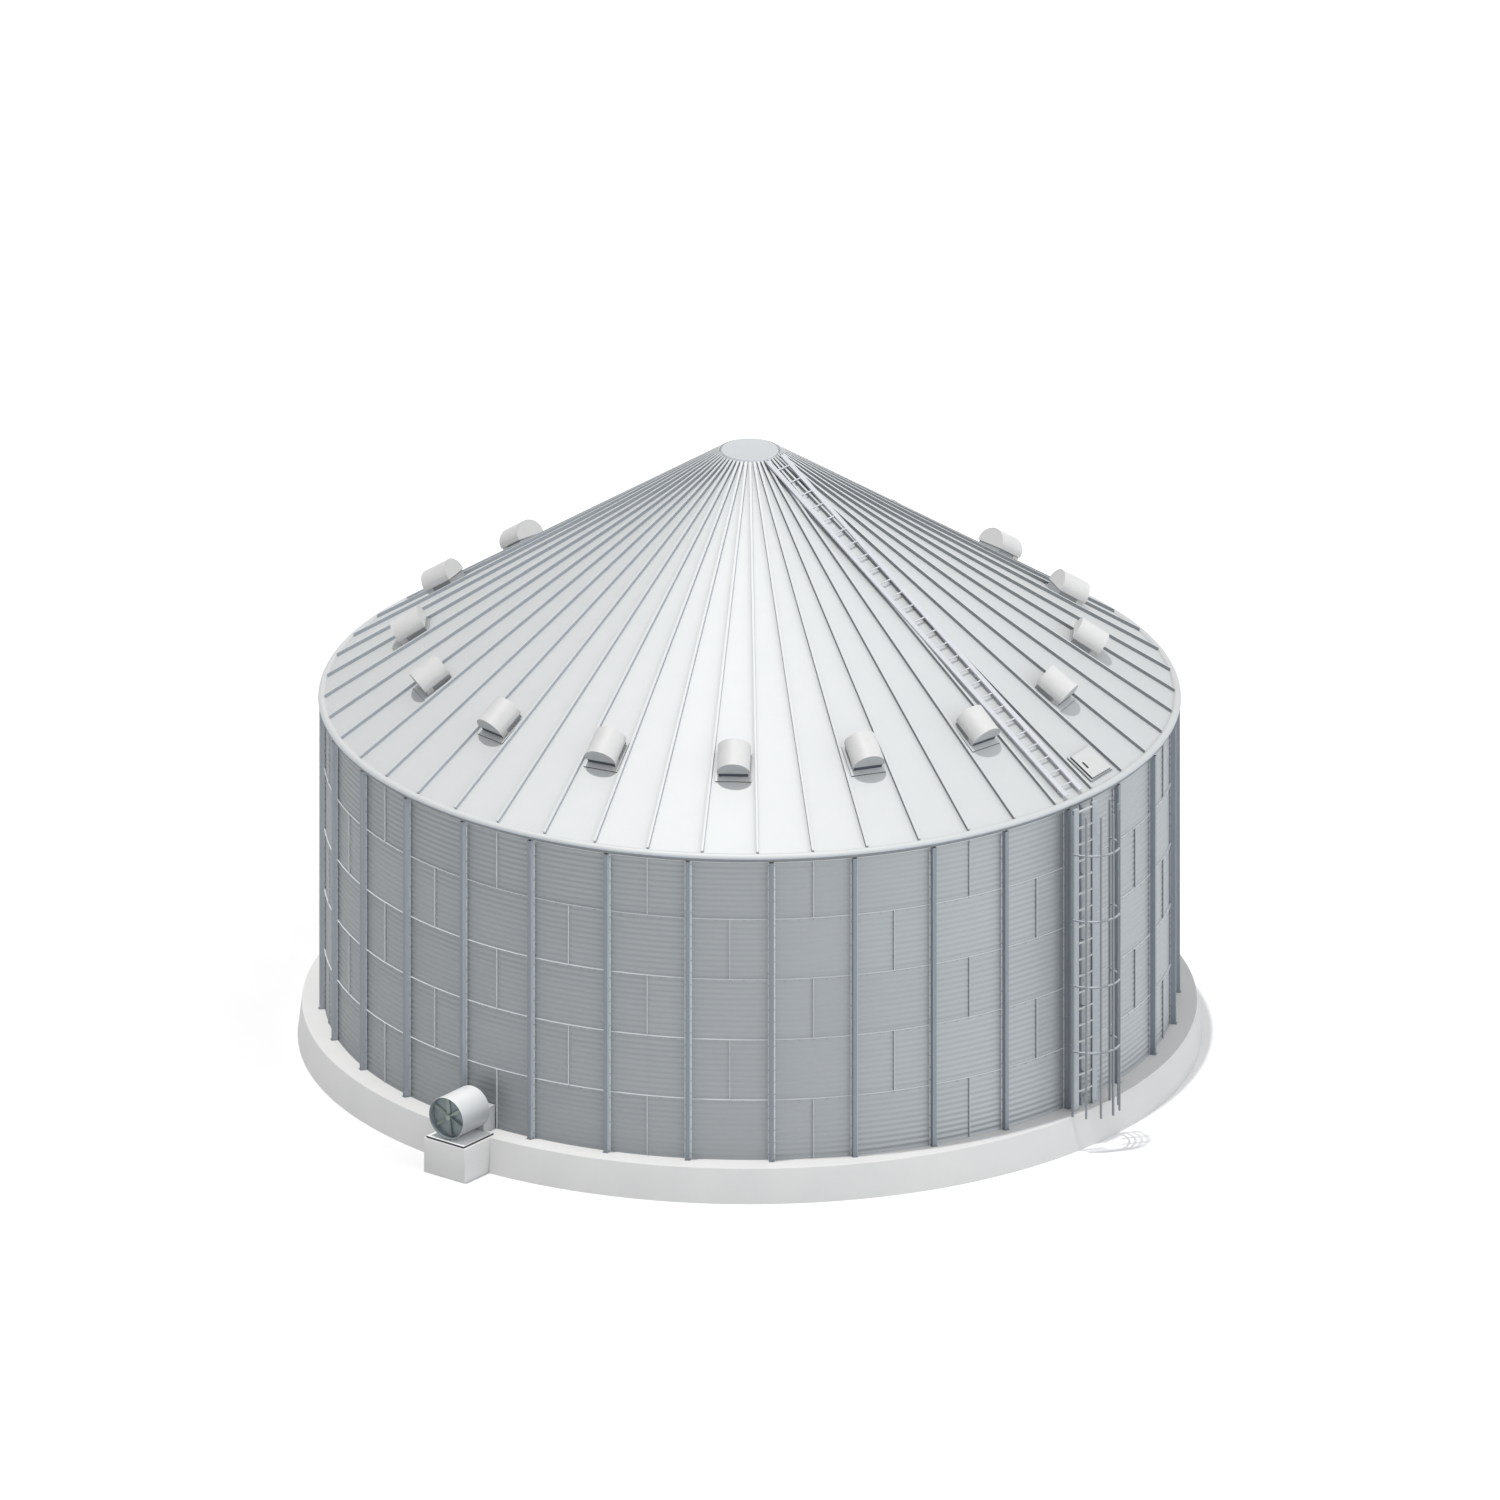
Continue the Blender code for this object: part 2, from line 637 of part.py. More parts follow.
def hoop(height):
    curve = bpy.data.curves.new("hoop", "CURVE")
    curve.dimensions = "3D"
    curve.bevel_depth = HOOP_TUBE_RADIUS
    curve.bevel_resolution = 1
    curve.use_fill_caps = True
    spline = curve.splines.new("POLY")
    spline.points.add(HOOP_STEPS)
    for step, point in enumerate(spline.points):
        angle = math.pi * (step / HOOP_STEPS - 0.5)
        point.co = (
            CAGE_CENTRE_RADIUS + CAGE_RADIUS * math.cos(angle), CAGE_RADIUS * math.sin(angle),
            height, 1)
    item = bpy.data.objects.new("hoop", curve)
    construction.objects.link(item)
    mesh = finished(item, "hoop")
    bpy.data.objects.remove(item, do_unlink=True)
    shape = bmesh.new()
    shape.from_mesh(mesh)
    bmesh.ops.remove_doubles(shape, verts=shape.verts, dist=0.00001)
    shape.to_mesh(mesh)
    shape.free()
    return link_mesh("hoop", mesh, construction)


def build_ladder_cage():
    half = CAGE_BAR_SIDE / 2
    pieces = []
    for number in range(CAGE_BAR_COUNT):
        angle = math.pi * (number / (CAGE_BAR_COUNT - 1) - 0.5)
        bar = block("bar", (-half, half), (-half, half), (GAP, WALL_HEIGHT))
        place = Matrix.Translation((
            CAGE_CENTRE_RADIUS + CAGE_RADIUS * math.cos(angle), CAGE_RADIUS * math.sin(angle), 0))
        bar.matrix_world = place @ Matrix.Rotation(angle, 4, "Z")
        pieces.append(bar)
    pieces.extend(hoop(HOOP_PITCH * (number + 1)) for number in range(HOOP_COUNT))
    mesh = fused("ladder_cage", pieces)
    part("ladder_cage", mesh, galvanised, wall_frame(LADDER_AZIMUTH))


def hatch_hole(name):
    return block(
        name, (-HATCH_HOLE_LENGTH / 2, HATCH_HOLE_LENGTH / 2),
        (-HATCH_HOLE_WIDTH / 2, HATCH_HOLE_WIDTH / 2), (-OVERCUT, OVERCUT))


def build_hatch():
    matrix = roof_frame(HATCH_AZIMUTH, HATCH_CENTRE_RADIUS)
    frame_top = HATCH_FRAME_HEIGHT
    base = block(
        "base", (-HATCH_FRAME_LENGTH / 2, HATCH_FRAME_LENGTH / 2),
        (-HATCH_FRAME_WIDTH / 2, HATCH_FRAME_WIDTH / 2), (GAP, frame_top))
    pieces = [base]
    for side in (-1, 1):
        near = side * HINGE_BARREL_OFFSET
        far = side * (HINGE_BARREL_OFFSET + HINGE_BARREL_LENGTH)
        pieces.append(rod(
            "barrel", HINGE_BARREL_RADIUS, (near, HINGE_OFFSET, HINGE_HEIGHT),
            (far, HINGE_OFFSET, HINGE_HEIGHT), HINGE_SIDES))
        pieces.append(block(
            "lug", tuple(sorted((near, far))),
            (HINGE_OFFSET - HINGE_LUG_THICKNESS / 2, HINGE_OFFSET + HINGE_LUG_THICKNESS / 2),
            (frame_top / 2, HINGE_HEIGHT)))
    pieces.append(rod(
        "pin", HINGE_PIN_RADIUS, (-HINGE_BARREL_OFFSET - HINGE_PIN_OVERLAP, HINGE_OFFSET, HINGE_HEIGHT),
        (HINGE_BARREL_OFFSET + HINGE_PIN_OVERLAP, HINGE_OFFSET, HINGE_HEIGHT), HINGE_SIDES))
    mesh = fused("hatch_frame", pieces, [hatch_hole("frame_hole")])
    part("hatch_frame", mesh, galvanised, matrix)

    low = frame_top + GAP
    high = low + HATCH_LID_THICKNESS
    left = HATCH_LID_OFFSET - HATCH_LID_WIDTH / 2
    right = HATCH_LID_OFFSET + HATCH_LID_WIDTH / 2
    cover = block("cover", (-HATCH_LID_LENGTH / 2, HATCH_LID_LENGTH / 2), (left, right), (low, high))
    half = LID_BARREL_LENGTH / 2
    strap = block(
        "strap", (-half, half), (right - STRAP_OVERLAP, HINGE_OFFSET),
        (HINGE_HEIGHT - STRAP_THICKNESS / 2, HINGE_HEIGHT + STRAP_THICKNESS / 2))
    barrel = rod(
        "lid_barrel", HINGE_BARREL_RADIUS, (-half, HINGE_OFFSET, HINGE_HEIGHT),
        (half, HINGE_OFFSET, HINGE_HEIGHT), HINGE_SIDES)
    bore = rod(
        "bore", HINGE_BORE_RADIUS, (-half - OVERCUT, HINGE_OFFSET, HINGE_HEIGHT),
        (half + OVERCUT, HINGE_OFFSET, HINGE_HEIGHT), HINGE_SIDES)
    recess = block(
        "recess", (-HANDLE_RECESS_LENGTH / 2, HANDLE_RECESS_LENGTH / 2),
        (HANDLE_OFFSET - HANDLE_RECESS_WIDTH / 2, HANDLE_OFFSET + HANDLE_RECESS_WIDTH / 2),
        (high - HANDLE_RECESS_DEPTH, high + OVERCUT))
    mesh = fused("hatch_lid", [cover, strap, barrel], [bore, recess])

    # The lid's own origin is on the hinge's axis.
    axis = Matrix.Translation((0, HINGE_OFFSET, HINGE_HEIGHT))
    mesh.transform(axis.inverted())
    part("hatch_lid", mesh, roof_steel, matrix @ axis)


def build_fan():
    matrix = wall_frame(FAN_AZIMUTH)
    plate = block(
        "plate", (PLATE_INNER_RADIUS, PLATE_OUTER_RADIUS), (-PLATE_WIDTH / 2, PLATE_WIDTH / 2),
        (GAP, PLATE_THICKNESS))
    duct_cut = block(
        "duct_cut", (PLATE_INNER_RADIUS - OVERCUT, HOUSING_BACK_RADIUS - GAP),
        (-DUCT_WIDTH / 2 - GAP, DUCT_WIDTH / 2 + GAP), (-OVERCUT, OVERCUT))
    part("fan_plate", fused("fan_plate", [plate], [duct_cut]), galvanised, matrix)
    part("fan_housing", housing_mesh(), bright_steel, matrix)
    part("fan_duct", duct_mesh(), galvanised, matrix)

    # The rotor's own origin is on its axis.
    axis = Matrix.Translation((HUB_BACK_RADIUS, 0, FAN_AXIS_HEIGHT))
    mesh = rotor_mesh()
    mesh.transform(axis.inverted())
    part("fan_rotor", mesh, blade_paint, matrix @ axis)


def housing_mesh():
    """A tube with a rim, two saddles on the plate, a back sheet and the motor on its struts."""
    def along(first, last, radius, sides, name):
        return rod(name, radius, (first, 0, FAN_AXIS_HEIGHT), (last, 0, FAN_AXIS_HEIGHT), sides)

    inner = HOUSING_RADIUS - HOUSING_SHEET
    tube = along(HOUSING_BACK_RADIUS, HOUSING_FRONT_RADIUS, HOUSING_RADIUS, HOUSING_SIDES, "tube")
    rim = along(
        HOUSING_FRONT_RADIUS - RIM_LENGTH, HOUSING_FRONT_RADIUS, HOUSING_RADIUS + RIM_WIDTH,
        HOUSING_SIDES, "rim")
    bore = along(
        HOUSING_BACK_RADIUS + HOUSING_SHEET, HOUSING_FRONT_RADIUS + OVERCUT, inner, HOUSING_SIDES,
        "bore")
    port = block(
        "port", (HOUSING_BACK_RADIUS - OVERCUT, HOUSING_BACK_RADIUS + OVERCUT),
        (-WALL_PORT_WIDTH / 2, WALL_PORT_WIDTH / 2), (HOUSING_PORT_BOTTOM, WALL_PORT_TOP))
    shell = fused("shell", [tube, rim], [bore, port])
    pieces = [link_mesh("shell", shell, construction)]
    foot_top = FAN_AXIS_HEIGHT - HOUSING_RADIUS + HOUSING_SHEET / 2
    for radius in SADDLE_OFFSETS:
        pieces.append(block(
            "saddle", (radius - SADDLE_WIDTH / 2, radius + SADDLE_WIDTH / 2),
            (-SADDLE_LENGTH / 2, SADDLE_LENGTH / 2), (PLATE_THICKNESS + GAP, foot_top)))
    back = MOTOR_FRONT_RADIUS - MOTOR_LENGTH
    pieces.append(along(back, MOTOR_FRONT_RADIUS, MOTOR_RADIUS, MOTOR_SIDES, "motor"))
    pieces.append(along(
        MOTOR_FRONT_RADIUS - SHAFT_ROOT, SHAFT_END_RADIUS, SHAFT_RADIUS, MOTOR_SIDES, "shaft"))
    middle = (back + MOTOR_FRONT_RADIUS) / 2
    for turn in STRUT_ANGLES:
        strut = block(
            "strut", (middle - STRUT_WIDTH / 2, middle + STRUT_WIDTH / 2),
            (-HOUSING_RADIUS + HOUSING_SHEET / 2, HOUSING_RADIUS - HOUSING_SHEET / 2),
            (-STRUT_THICKNESS / 2, STRUT_THICKNESS / 2))
        lift = Matrix.Translation((0, 0, FAN_AXIS_HEIGHT))
        strut.matrix_world = lift @ Matrix.Rotation(math.radians(turn), 4, "X")
        pieces.append(strut)
    return fused("fan_housing", pieces)


def duct_mesh():
    """The square duct from the housing's back to the wall."""
    half = DUCT_WIDTH / 2
    outer = block(
        "duct", (DUCT_INNER_RADIUS, HOUSING_BACK_RADIUS - GAP), (-half, half), (GAP, DUCT_HEIGHT))
    bore = block(
        "duct_bore", (WALL_RADIUS - OVERCUT, HOUSING_BACK_RADIUS + OVERCUT),
        (-half + DUCT_SHEET, half - DUCT_SHEET), (DUCT_SHEET, DUCT_HEIGHT - DUCT_SHEET))
    return fused("fan_duct", [outer], [bore])


def rotor_mesh():
    hub = rod(
        "hub", HUB_RADIUS, (HUB_BACK_RADIUS, 0, FAN_AXIS_HEIGHT),
        (HUB_FRONT_RADIUS, 0, FAN_AXIS_HEIGHT), MOTOR_SIDES)
    bore = rod(
        "hub_bore", ROTOR_BORE_RADIUS, (HUB_BACK_RADIUS - OVERCUT, 0, FAN_AXIS_HEIGHT),
        (SHAFT_END_RADIUS + SHAFT_END_CLEARANCE, 0, FAN_AXIS_HEIGHT), MOTOR_SIDES)
    middle = (HUB_BACK_RADIUS + HUB_FRONT_RADIUS) / 2
    place = Matrix.Translation((middle, 0, FAN_AXIS_HEIGHT))
    pieces = [hub]
    for number in range(BLADE_COUNT):
        blade = block(
            "blade", (-BLADE_THICKNESS / 2, BLADE_THICKNESS / 2),
            (-BLADE_CHORD / 2, BLADE_CHORD / 2), (BLADE_INNER, BLADE_OUTER))
        turn = Matrix.Rotation(math.radians(BLADE_START_ANGLE + number * 360 / BLADE_COUNT), 4, "X")
        blade.matrix_world = place @ turn @ Matrix.Rotation(math.radians(BLADE_PITCH), 4, "Z")
        pieces.append(blade)
    return fused("fan_rotor", pieces, [bore])


clear_scene()
silo = new_collection("grain_silo")
construction = new_collection("construction")

concrete = new_material("concrete", (0.62, 0.62, 0.60), 0.9, 0.0)
galvanised = new_material("galvanised_steel", (0.52, 0.54, 0.56), 0.5, 0.6)
roof_steel = new_material("roof_steel", (0.72, 0.73, 0.74), 0.45, 0.5)
vent_steel = new_material("vent_steel", (0.80, 0.80, 0.79), 0.5, 0.3)
bright_steel = new_material("bright_steel", (0.70, 0.71, 0.72), 0.3, 0.8)
blade_paint = new_material("blade_paint", (0.20, 0.25, 0.24), 0.5, 0.1)

build_foundation()
build_walls()
build_eave_ring()
build_roof()
build_peak_cap()
build_vents()
build_roof_ladder()
build_hatch()
build_wall_ladder()
build_ladder_cage()
build_fan()
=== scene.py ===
"""A round corrugated steel grain silo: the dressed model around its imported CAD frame.

Metres, +Z up, origin on the silo's axis at ground level. Azimuth 0 looks along -Y and grows
towards +X, as in the CAD source.
"""

import math

import bmesh
import bpy
from mathutils import Matrix, Vector


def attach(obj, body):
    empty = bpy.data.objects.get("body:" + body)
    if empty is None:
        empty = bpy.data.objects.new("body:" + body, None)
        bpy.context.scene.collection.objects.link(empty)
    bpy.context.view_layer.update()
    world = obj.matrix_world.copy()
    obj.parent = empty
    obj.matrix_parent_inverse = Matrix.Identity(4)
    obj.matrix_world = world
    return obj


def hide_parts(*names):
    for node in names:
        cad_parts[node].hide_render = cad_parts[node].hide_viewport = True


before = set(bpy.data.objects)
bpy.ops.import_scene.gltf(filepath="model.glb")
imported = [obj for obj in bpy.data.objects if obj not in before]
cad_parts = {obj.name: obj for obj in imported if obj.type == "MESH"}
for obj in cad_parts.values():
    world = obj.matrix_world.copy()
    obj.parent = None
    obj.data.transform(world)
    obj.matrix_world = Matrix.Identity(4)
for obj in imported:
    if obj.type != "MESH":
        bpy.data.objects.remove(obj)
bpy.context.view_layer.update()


# The foundation. A round slab of pale cast concrete with a slightly tapered side, poured in a
# ring of forms. Its top edge is eased with a trowel, and it carries everything else.

SLAB_HEIGHT = 0.635
SLAB_BOTTOM_RADIUS = 7.775
SLAB_TOP_RADIUS = 7.70
SLAB_SIDES = 192
SLAB_EDGE = 0.012
FLOOR_RADIUS = 7.0


def leave_edit():
    bpy.ops.object.mode_set(mode="OBJECT")


def deselect():
    if bpy.context.mode != "OBJECT":
        leave_edit()
    bpy.ops.object.select_all(action="DESELECT")


def activate(piece):
    deselect()
    piece.select_set(True)
    bpy.context.view_layer.objects.active = piece


def named(name):
    """Names the piece that an add operator has just made, and settles it at the origin."""
    piece = bpy.context.object
    piece.name = name
    piece.data.name = name
    bpy.ops.object.transform_apply(location=True, rotation=True, scale=True)
    return piece


def edit(piece):
    activate(piece)
    bpy.ops.object.mode_set(mode="EDIT")


def pick_all():
    bpy.ops.mesh.select_all(action="SELECT")


def pick_faces(piece, wanted):
    """Selects, in edit mode, the faces whose middle and normal pass the test."""
    bpy.ops.mesh.select_mode(type="FACE")
    bpy.ops.mesh.select_all(action="DESELECT")
    shape = bmesh.from_edit_mesh(piece.data)
    for face in shape.faces:
        if wanted(face.calc_center_median(), face.normal):
            face.select_set(True)
    bmesh.update_edit_mesh(piece.data)


def pick_edges(piece, wanted):
    """Selects, in edit mode, the edges whose two ends pass the test."""
    bpy.ops.mesh.select_mode(type="EDGE")
    bpy.ops.mesh.select_all(action="DESELECT")
    shape = bmesh.from_edit_mesh(piece.data)
    for edge in shape.edges:
        if wanted(edge.verts[0].co, edge.verts[1].co):
            edge.select_set(True)
    bmesh.update_edit_mesh(piece.data)


def smooth(piece, degrees):
    activate(piece)
    bpy.ops.object.shade_smooth_by_angle(angle=math.radians(degrees))


def coat(piece, material):
    piece.data.materials.clear()
    piece.data.materials.append(material)


def shader_of(name):
    """A new material, its node tree and its shader."""
    material = bpy.data.materials.new(name)
    material.use_nodes = True
    return material, material.node_tree, material.node_tree.nodes["Principled BSDF"]


def tune(node, values):
    """Sets a node's sockets by name."""
    for socket, value in values.items():
        node.inputs[socket].default_value = value


def noise(tree, scale, detail):
    """Noise on the object's own coordinates, which are metres in the silo's frame."""
    place = tree.nodes.new("ShaderNodeTexCoord")
    texture = tree.nodes.new("ShaderNodeTexNoise")
    tune(texture, {"Scale": scale, "Detail": detail})
    tree.links.new(place.outputs["Object"], texture.inputs["Vector"])
    return texture.outputs["Fac"]


def ramp(tree, source, low, high, start=0.3, end=0.7):
    """A colour between two, as the source goes from start to end."""
    node = tree.nodes.new("ShaderNodeValToRGB")
    node.color_ramp.elements[0].position = start
    node.color_ramp.elements[1].position = end
    node.color_ramp.elements[0].color = (*low, 1.0)
    node.color_ramp.elements[1].color = (*high, 1.0)
    tree.links.new(source, node.inputs["Fac"])
    return node.outputs["Color"]


def spread(tree, source, low, high):
    """A value between two, as the source goes from 0.3 to 0.7."""
    node = tree.nodes.new("ShaderNodeMapRange")
    tune(node, {"From Min": 0.3, "From Max": 0.7, "To Min": low, "To Max": high})
    tree.links.new(source, node.inputs["Value"])
    return node.outputs["Result"]


def bump(tree, source, shader, strength, distance):
    node = tree.nodes.new("ShaderNodeBump")
    tune(node, {"Strength": strength, "Distance": distance})
    tree.links.new(source, node.inputs["Height"])
    tree.links.new(node.outputs["Normal"], shader.inputs["Normal"])


def fade(tree, axis, start, end):
    """From 0 to 1 as the object's own X, Y or Z goes from start to end."""
    place = tree.nodes.new("ShaderNodeTexCoord")
    axes = tree.nodes.new("ShaderNodeSeparateXYZ")
    node = tree.nodes.new("ShaderNodeMapRange")
    tune(node, {"From Min": start, "From Max": end})
    tree.links.new(place.outputs["Object"], axes.inputs["Vector"])
    tree.links.new(axes.outputs[axis], node.inputs["Value"])
    return node.outputs["Result"]


def times(tree, first, second):
    """One colour multiplied by another."""
    node = tree.nodes.new("ShaderNodeMix")
    node.data_type = "RGBA"
    node.blend_type = "MULTIPLY"
    node.inputs["Factor"].default_value = 1.0
    tree.links.new(first, node.inputs["A"])
    tree.links.new(second, node.inputs["B"])
    return node.outputs["Result"]


def cast_concrete(name, low, high, far):
    """Pale concrete with broad cloudy tones, fine grain and small pores, darker towards +X: painted shade."""
    material, tree, shader = shader_of(name)
    clouds = noise(tree, 0.9, 5.0)
    grain = noise(tree, 60.0, 4.0)
    # Painted shade: the colour darkens from -X to +X across the slab.
    painted_drift_shade = ramp(tree, fade(tree, "X", -7.8, 7.8), (1.0, 1.0, 1.0), (far, far, far), 0.0, 1.0)
    tree.links.new(times(tree, ramp(tree, clouds, low, high), painted_drift_shade), shader.inputs["Base Color"])
    tree.links.new(spread(tree, grain, 0.82, 0.95), shader.inputs["Roughness"])
    bump(tree, grain, shader, 0.25, 0.002)
    return material


def coat_faces(piece, material, wanted):
    """Gives a second coat to the faces whose middle and normal pass the test."""
    piece.data.materials.append(material)
    for polygon in piece.data.polygons:
        if wanted(polygon.center, polygon.normal):
            polygon.material_index = len(piece.data.materials) - 1


concrete = cast_concrete("trowelled_concrete", (0.625, 0.62, 0.615), (0.66, 0.655, 0.65), 0.86)
# A darker copy of the concrete for the sides: partly the formed finish, partly painted shade.
formed_concrete_painted_shade = cast_concrete("formed_concrete_painted_shade", (0.555, 0.555, 0.555), (0.585, 0.585, 0.58), 0.92)

deselect()
bpy.ops.mesh.primitive_cylinder_add(
    vertices=SLAB_SIDES, radius=SLAB_BOTTOM_RADIUS, depth=SLAB_HEIGHT,
    location=(0, 0, SLAB_HEIGHT / 2))
slab = named("concrete_slab")
edit(slab)
pick_faces(slab, lambda middle, normal: normal.z > 0.9)
taper = SLAB_TOP_RADIUS / SLAB_BOTTOM_RADIUS
bpy.ops.transform.resize(value=(taper, taper, 1), center_override=(0, 0, SLAB_HEIGHT))
pick_edges(slab, lambda a, b: min(a.z, b.z) > SLAB_HEIGHT - 0.001)
bpy.ops.mesh.bevel(offset=SLAB_EDGE, segments=3)
pick_faces(slab, lambda middle, normal: normal.z > 0.9 and middle.xy.length < 1)
bpy.ops.mesh.inset(thickness=SLAB_TOP_RADIUS - FLOOR_RADIUS)
smooth(slab, 20)
coat(slab, concrete)
# The slab's side gets the darker copy: partly formed finish, partly painted shade.
coat_faces(slab, formed_concrete_painted_shade, lambda middle, normal: normal.z < 0.3)
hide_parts("foundation")
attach(slab, "silo")


# The fan's pad. A block of the same concrete, cast against the slab's side under the fan, with
# sharp arrises that are only lightly eased.

FAN_AZIMUTH = -36.0
PAD_WIDTH = 0.90
PAD_INNER = 7.60
PAD_OUTER = 8.405
PAD_EDGE = 0.008
# A piece stops this far short of the one that carries it.
SEAT = 0.0005


def outwards(azimuth):
    """X outwards, Y sideways and Z up at an azimuth, from the slab's top."""
    turn = Matrix.Rotation(math.radians(azimuth - 90), 4, "Z")
    return Matrix.Translation((0, 0, SLAB_HEIGHT)) @ turn


def around(middle, half):
    """The two values that lie half to either side of a middle."""
    return middle - half, middle + half


def bar(name, x, y, z, edge, segments=2):
    """A bar or block with eased edges, between two values on each axis."""
    deselect()
    bpy.ops.mesh.primitive_cube_add(
        size=1, location=(sum(x) / 2, sum(y) / 2, sum(z) / 2),
        scale=(abs(x[1] - x[0]), abs(y[1] - y[0]), abs(z[1] - z[0])))
    piece = named(name)
    if edge:
        edit(piece)
        pick_all()
        bpy.ops.mesh.bevel(offset=edge, segments=segments)
        leave_edit()
    return piece


def modify(piece, kind, **values):
    """Adds a modifier and applies it at once."""
    activate(piece)
    modifier = piece.modifiers.new(kind.lower(), kind)
    for key, value in values.items():
        setattr(modifier, key, value)
    bpy.ops.object.modifier_apply(modifier=modifier.name)


def remove(*pieces):
    for piece in pieces:
        bpy.data.objects.remove(piece, do_unlink=True)


def cut(piece, cutter):
    modify(piece, "BOOLEAN", operation="DIFFERENCE", object=cutter, solver="EXACT")
    remove(cutter)


pad = bar("fan_pad_block", (PAD_INNER, PAD_OUTER), around(0, PAD_WIDTH / 2), (-SLAB_HEIGHT, -SEAT), PAD_EDGE)
pad.data.transform(outwards(FAN_AZIMUTH))
deselect()
bpy.ops.mesh.primitive_cone_add(
    vertices=SLAB_SIDES, radius1=SLAB_BOTTOM_RADIUS + 0.001, radius2=SLAB_TOP_RADIUS + 0.001,
    depth=SLAB_HEIGHT + 0.002, location=(0, 0, SLAB_HEIGHT / 2))
cut(pad, named("slab_cutter"))
smooth(pad, 40)
coat(pad, concrete)
# The pad's sides get the darker copy: partly formed finish, partly painted shade.
coat_faces(pad, formed_concrete_painted_shade, lambda middle, normal: normal.z < 0.3)
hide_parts("fan_pad")
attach(pad, "silo")


# The wall. Five rings of galvanised sheet, each rolled with eleven corrugations and curved to
# the silo's radius. Sixteen sheets make a ring, and the rings are staggered by half a sheet.

RING_COUNT = 5
RING_HEIGHT = 1.1176
WALL_RADIUS = 7.315
CORRUGATIONS = 11
CORRUGATION_DEPTH = 0.0110
POINTS_PER_CORRUGATION = 8
SHEET_THICKNESS = 0.003
WALL_TURNS = 128
WALL_TOP = 5.540
WALL_FOOT = 0.001
SHEETS_PER_RING = 16
PORT_HALF_WIDTH = 0.23
PORT_LOW = 0.07
PORT_HIGH = 0.40
WALL_NODES = [f"wall_{number:02d}" for number in range(1, 9)]


def drawn(name, points):
    """A line of edges, drawn from point to point by extruding a vertex. Leaves edit mode on."""
    deselect()
    bpy.ops.mesh.primitive_plane_add(size=0.001, location=points[0])
    piece = named(name)
    edit(piece)
    bpy.ops.mesh.select_mode(type="VERT")
    pick_all()
    bpy.ops.mesh.merge(type="CENTER")
    for before, after in zip(points, points[1:]):
        step = Vector(after) - Vector(before)
        bpy.ops.mesh.extrude_vertices_move(TRANSFORM_OT_translate={"value": step})
    return piece


def turn_outwards():
    """Turns the edited mesh's faces outwards and leaves edit mode."""
    pick_all()
    bpy.ops.mesh.normals_make_consistent(inside=False)
    leave_edit()


def spun(piece, turns, centre=(0, 0, 0), axis=(0, 0, 1)):
    """Turns the drawn line once round an axis and closes the seam. Leaves object mode on."""
    edit(piece)
    pick_all()
    bpy.ops.mesh.spin(steps=turns, angle=2 * math.pi, center=centre, axis=axis)
    pick_all()
    bpy.ops.mesh.remove_doubles(threshold=0.00005)
    turn_outwards()


def pick_open_edges():
    """Selects, in edit mode, the edges round each opening of the mesh."""
    bpy.ops.mesh.select_all(action="DESELECT")
    bpy.ops.mesh.select_mode(type="EDGE")
    bpy.ops.mesh.select_non_manifold(
        use_wire=False, use_multi_face=False, use_non_contiguous=False, use_verts=False)


def twin(piece, matrix, name):
    """A copy with a mesh of its own, moved in its mesh."""
    copied = piece.copy()
    copied.data = piece.data.copy()
    copied.data.transform(matrix)
    copied.name = name
    copied.data.name = name
    bpy.context.scene.collection.objects.link(copied)
    return copied


def joined(pieces, name):
    deselect()
    for piece in pieces:
        piece.select_set(True)
    bpy.context.view_layer.objects.active = pieces[0]
    if len(pieces) > 1:
        bpy.ops.object.join()
    pieces[0].name = name
    pieces[0].data.name = name
    return pieces[0]


def galvanised_wall():
    """Zinc-coated sheet. Each sheet of each ring has a tone of its own, over a soft spangle, and the
    wall is darker towards -X: painted shade."""
    material, tree, shader = shader_of("galvanised_wall_sheet")
    place = tree.nodes.new("ShaderNodeTexCoord")
    axes = tree.nodes.new("ShaderNodeSeparateXYZ")
    tree.links.new(place.outputs["Object"], axes.inputs["Vector"])

    def figure(operation, first, second):
        node = tree.nodes.new("ShaderNodeMath")
        node.operation = operation
        for socket, value in zip(node.inputs, (first, second)):
            if isinstance(value, (int, float)):
                socket.default_value = value
            else:
                tree.links.new(value, socket)
        return node.outputs["Value"]

    height = figure("SUBTRACT", axes.outputs["Z"], SLAB_HEIGHT)
    ring = figure("FLOOR", figure("DIVIDE", height, RING_HEIGHT), 0)
    turn = figure("ARCTAN2", axes.outputs["X"], figure("MULTIPLY", axes.outputs["Y"], -1))
    sheets = figure("DIVIDE", turn, 2 * math.pi / SHEETS_PER_RING)
    stagger = figure("MULTIPLY", figure("MODULO", figure("ADD", ring, 1), 2), 0.5)
    sheet = figure("FLOOR", figure("ADD", sheets, stagger), 0)
    # The rings' numbers lie 31 apart, more than a ring has sheets, so that no two sheets share one.
    pick = tree.nodes.new("ShaderNodeTexWhiteNoise")
    pick.noise_dimensions = "1D"
    tree.links.new(figure("ADD", figure("MULTIPLY", ring, 31), sheet), pick.inputs["W"])
    spangle = noise(tree, 26.0, 3.0)
    tone = figure("ADD", figure("MULTIPLY", pick.outputs["Value"], 0.35), figure("MULTIPLY", spangle, 0.65))
    tones = ramp(tree, tone, (0.365, 0.385, 0.40), (0.39, 0.41, 0.425), 0.25, 0.75)
    # Painted shade: the wall's colour darkens from +X towards -X.
    painted_side_shade = ramp(tree, fade(tree, "X", -7.3, 7.3), (0.80, 0.80, 0.80), (1.0, 1.0, 1.0), 0.0, 1.0)
    tree.links.new(times(tree, tones, painted_side_shade), shader.inputs["Base Color"])
    tree.links.new(spread(tree, spangle, 0.50, 0.56), shader.inputs["Roughness"])
    shader.inputs["Metallic"].default_value = 0.5
    return material


wall_steel = galvanised_wall()

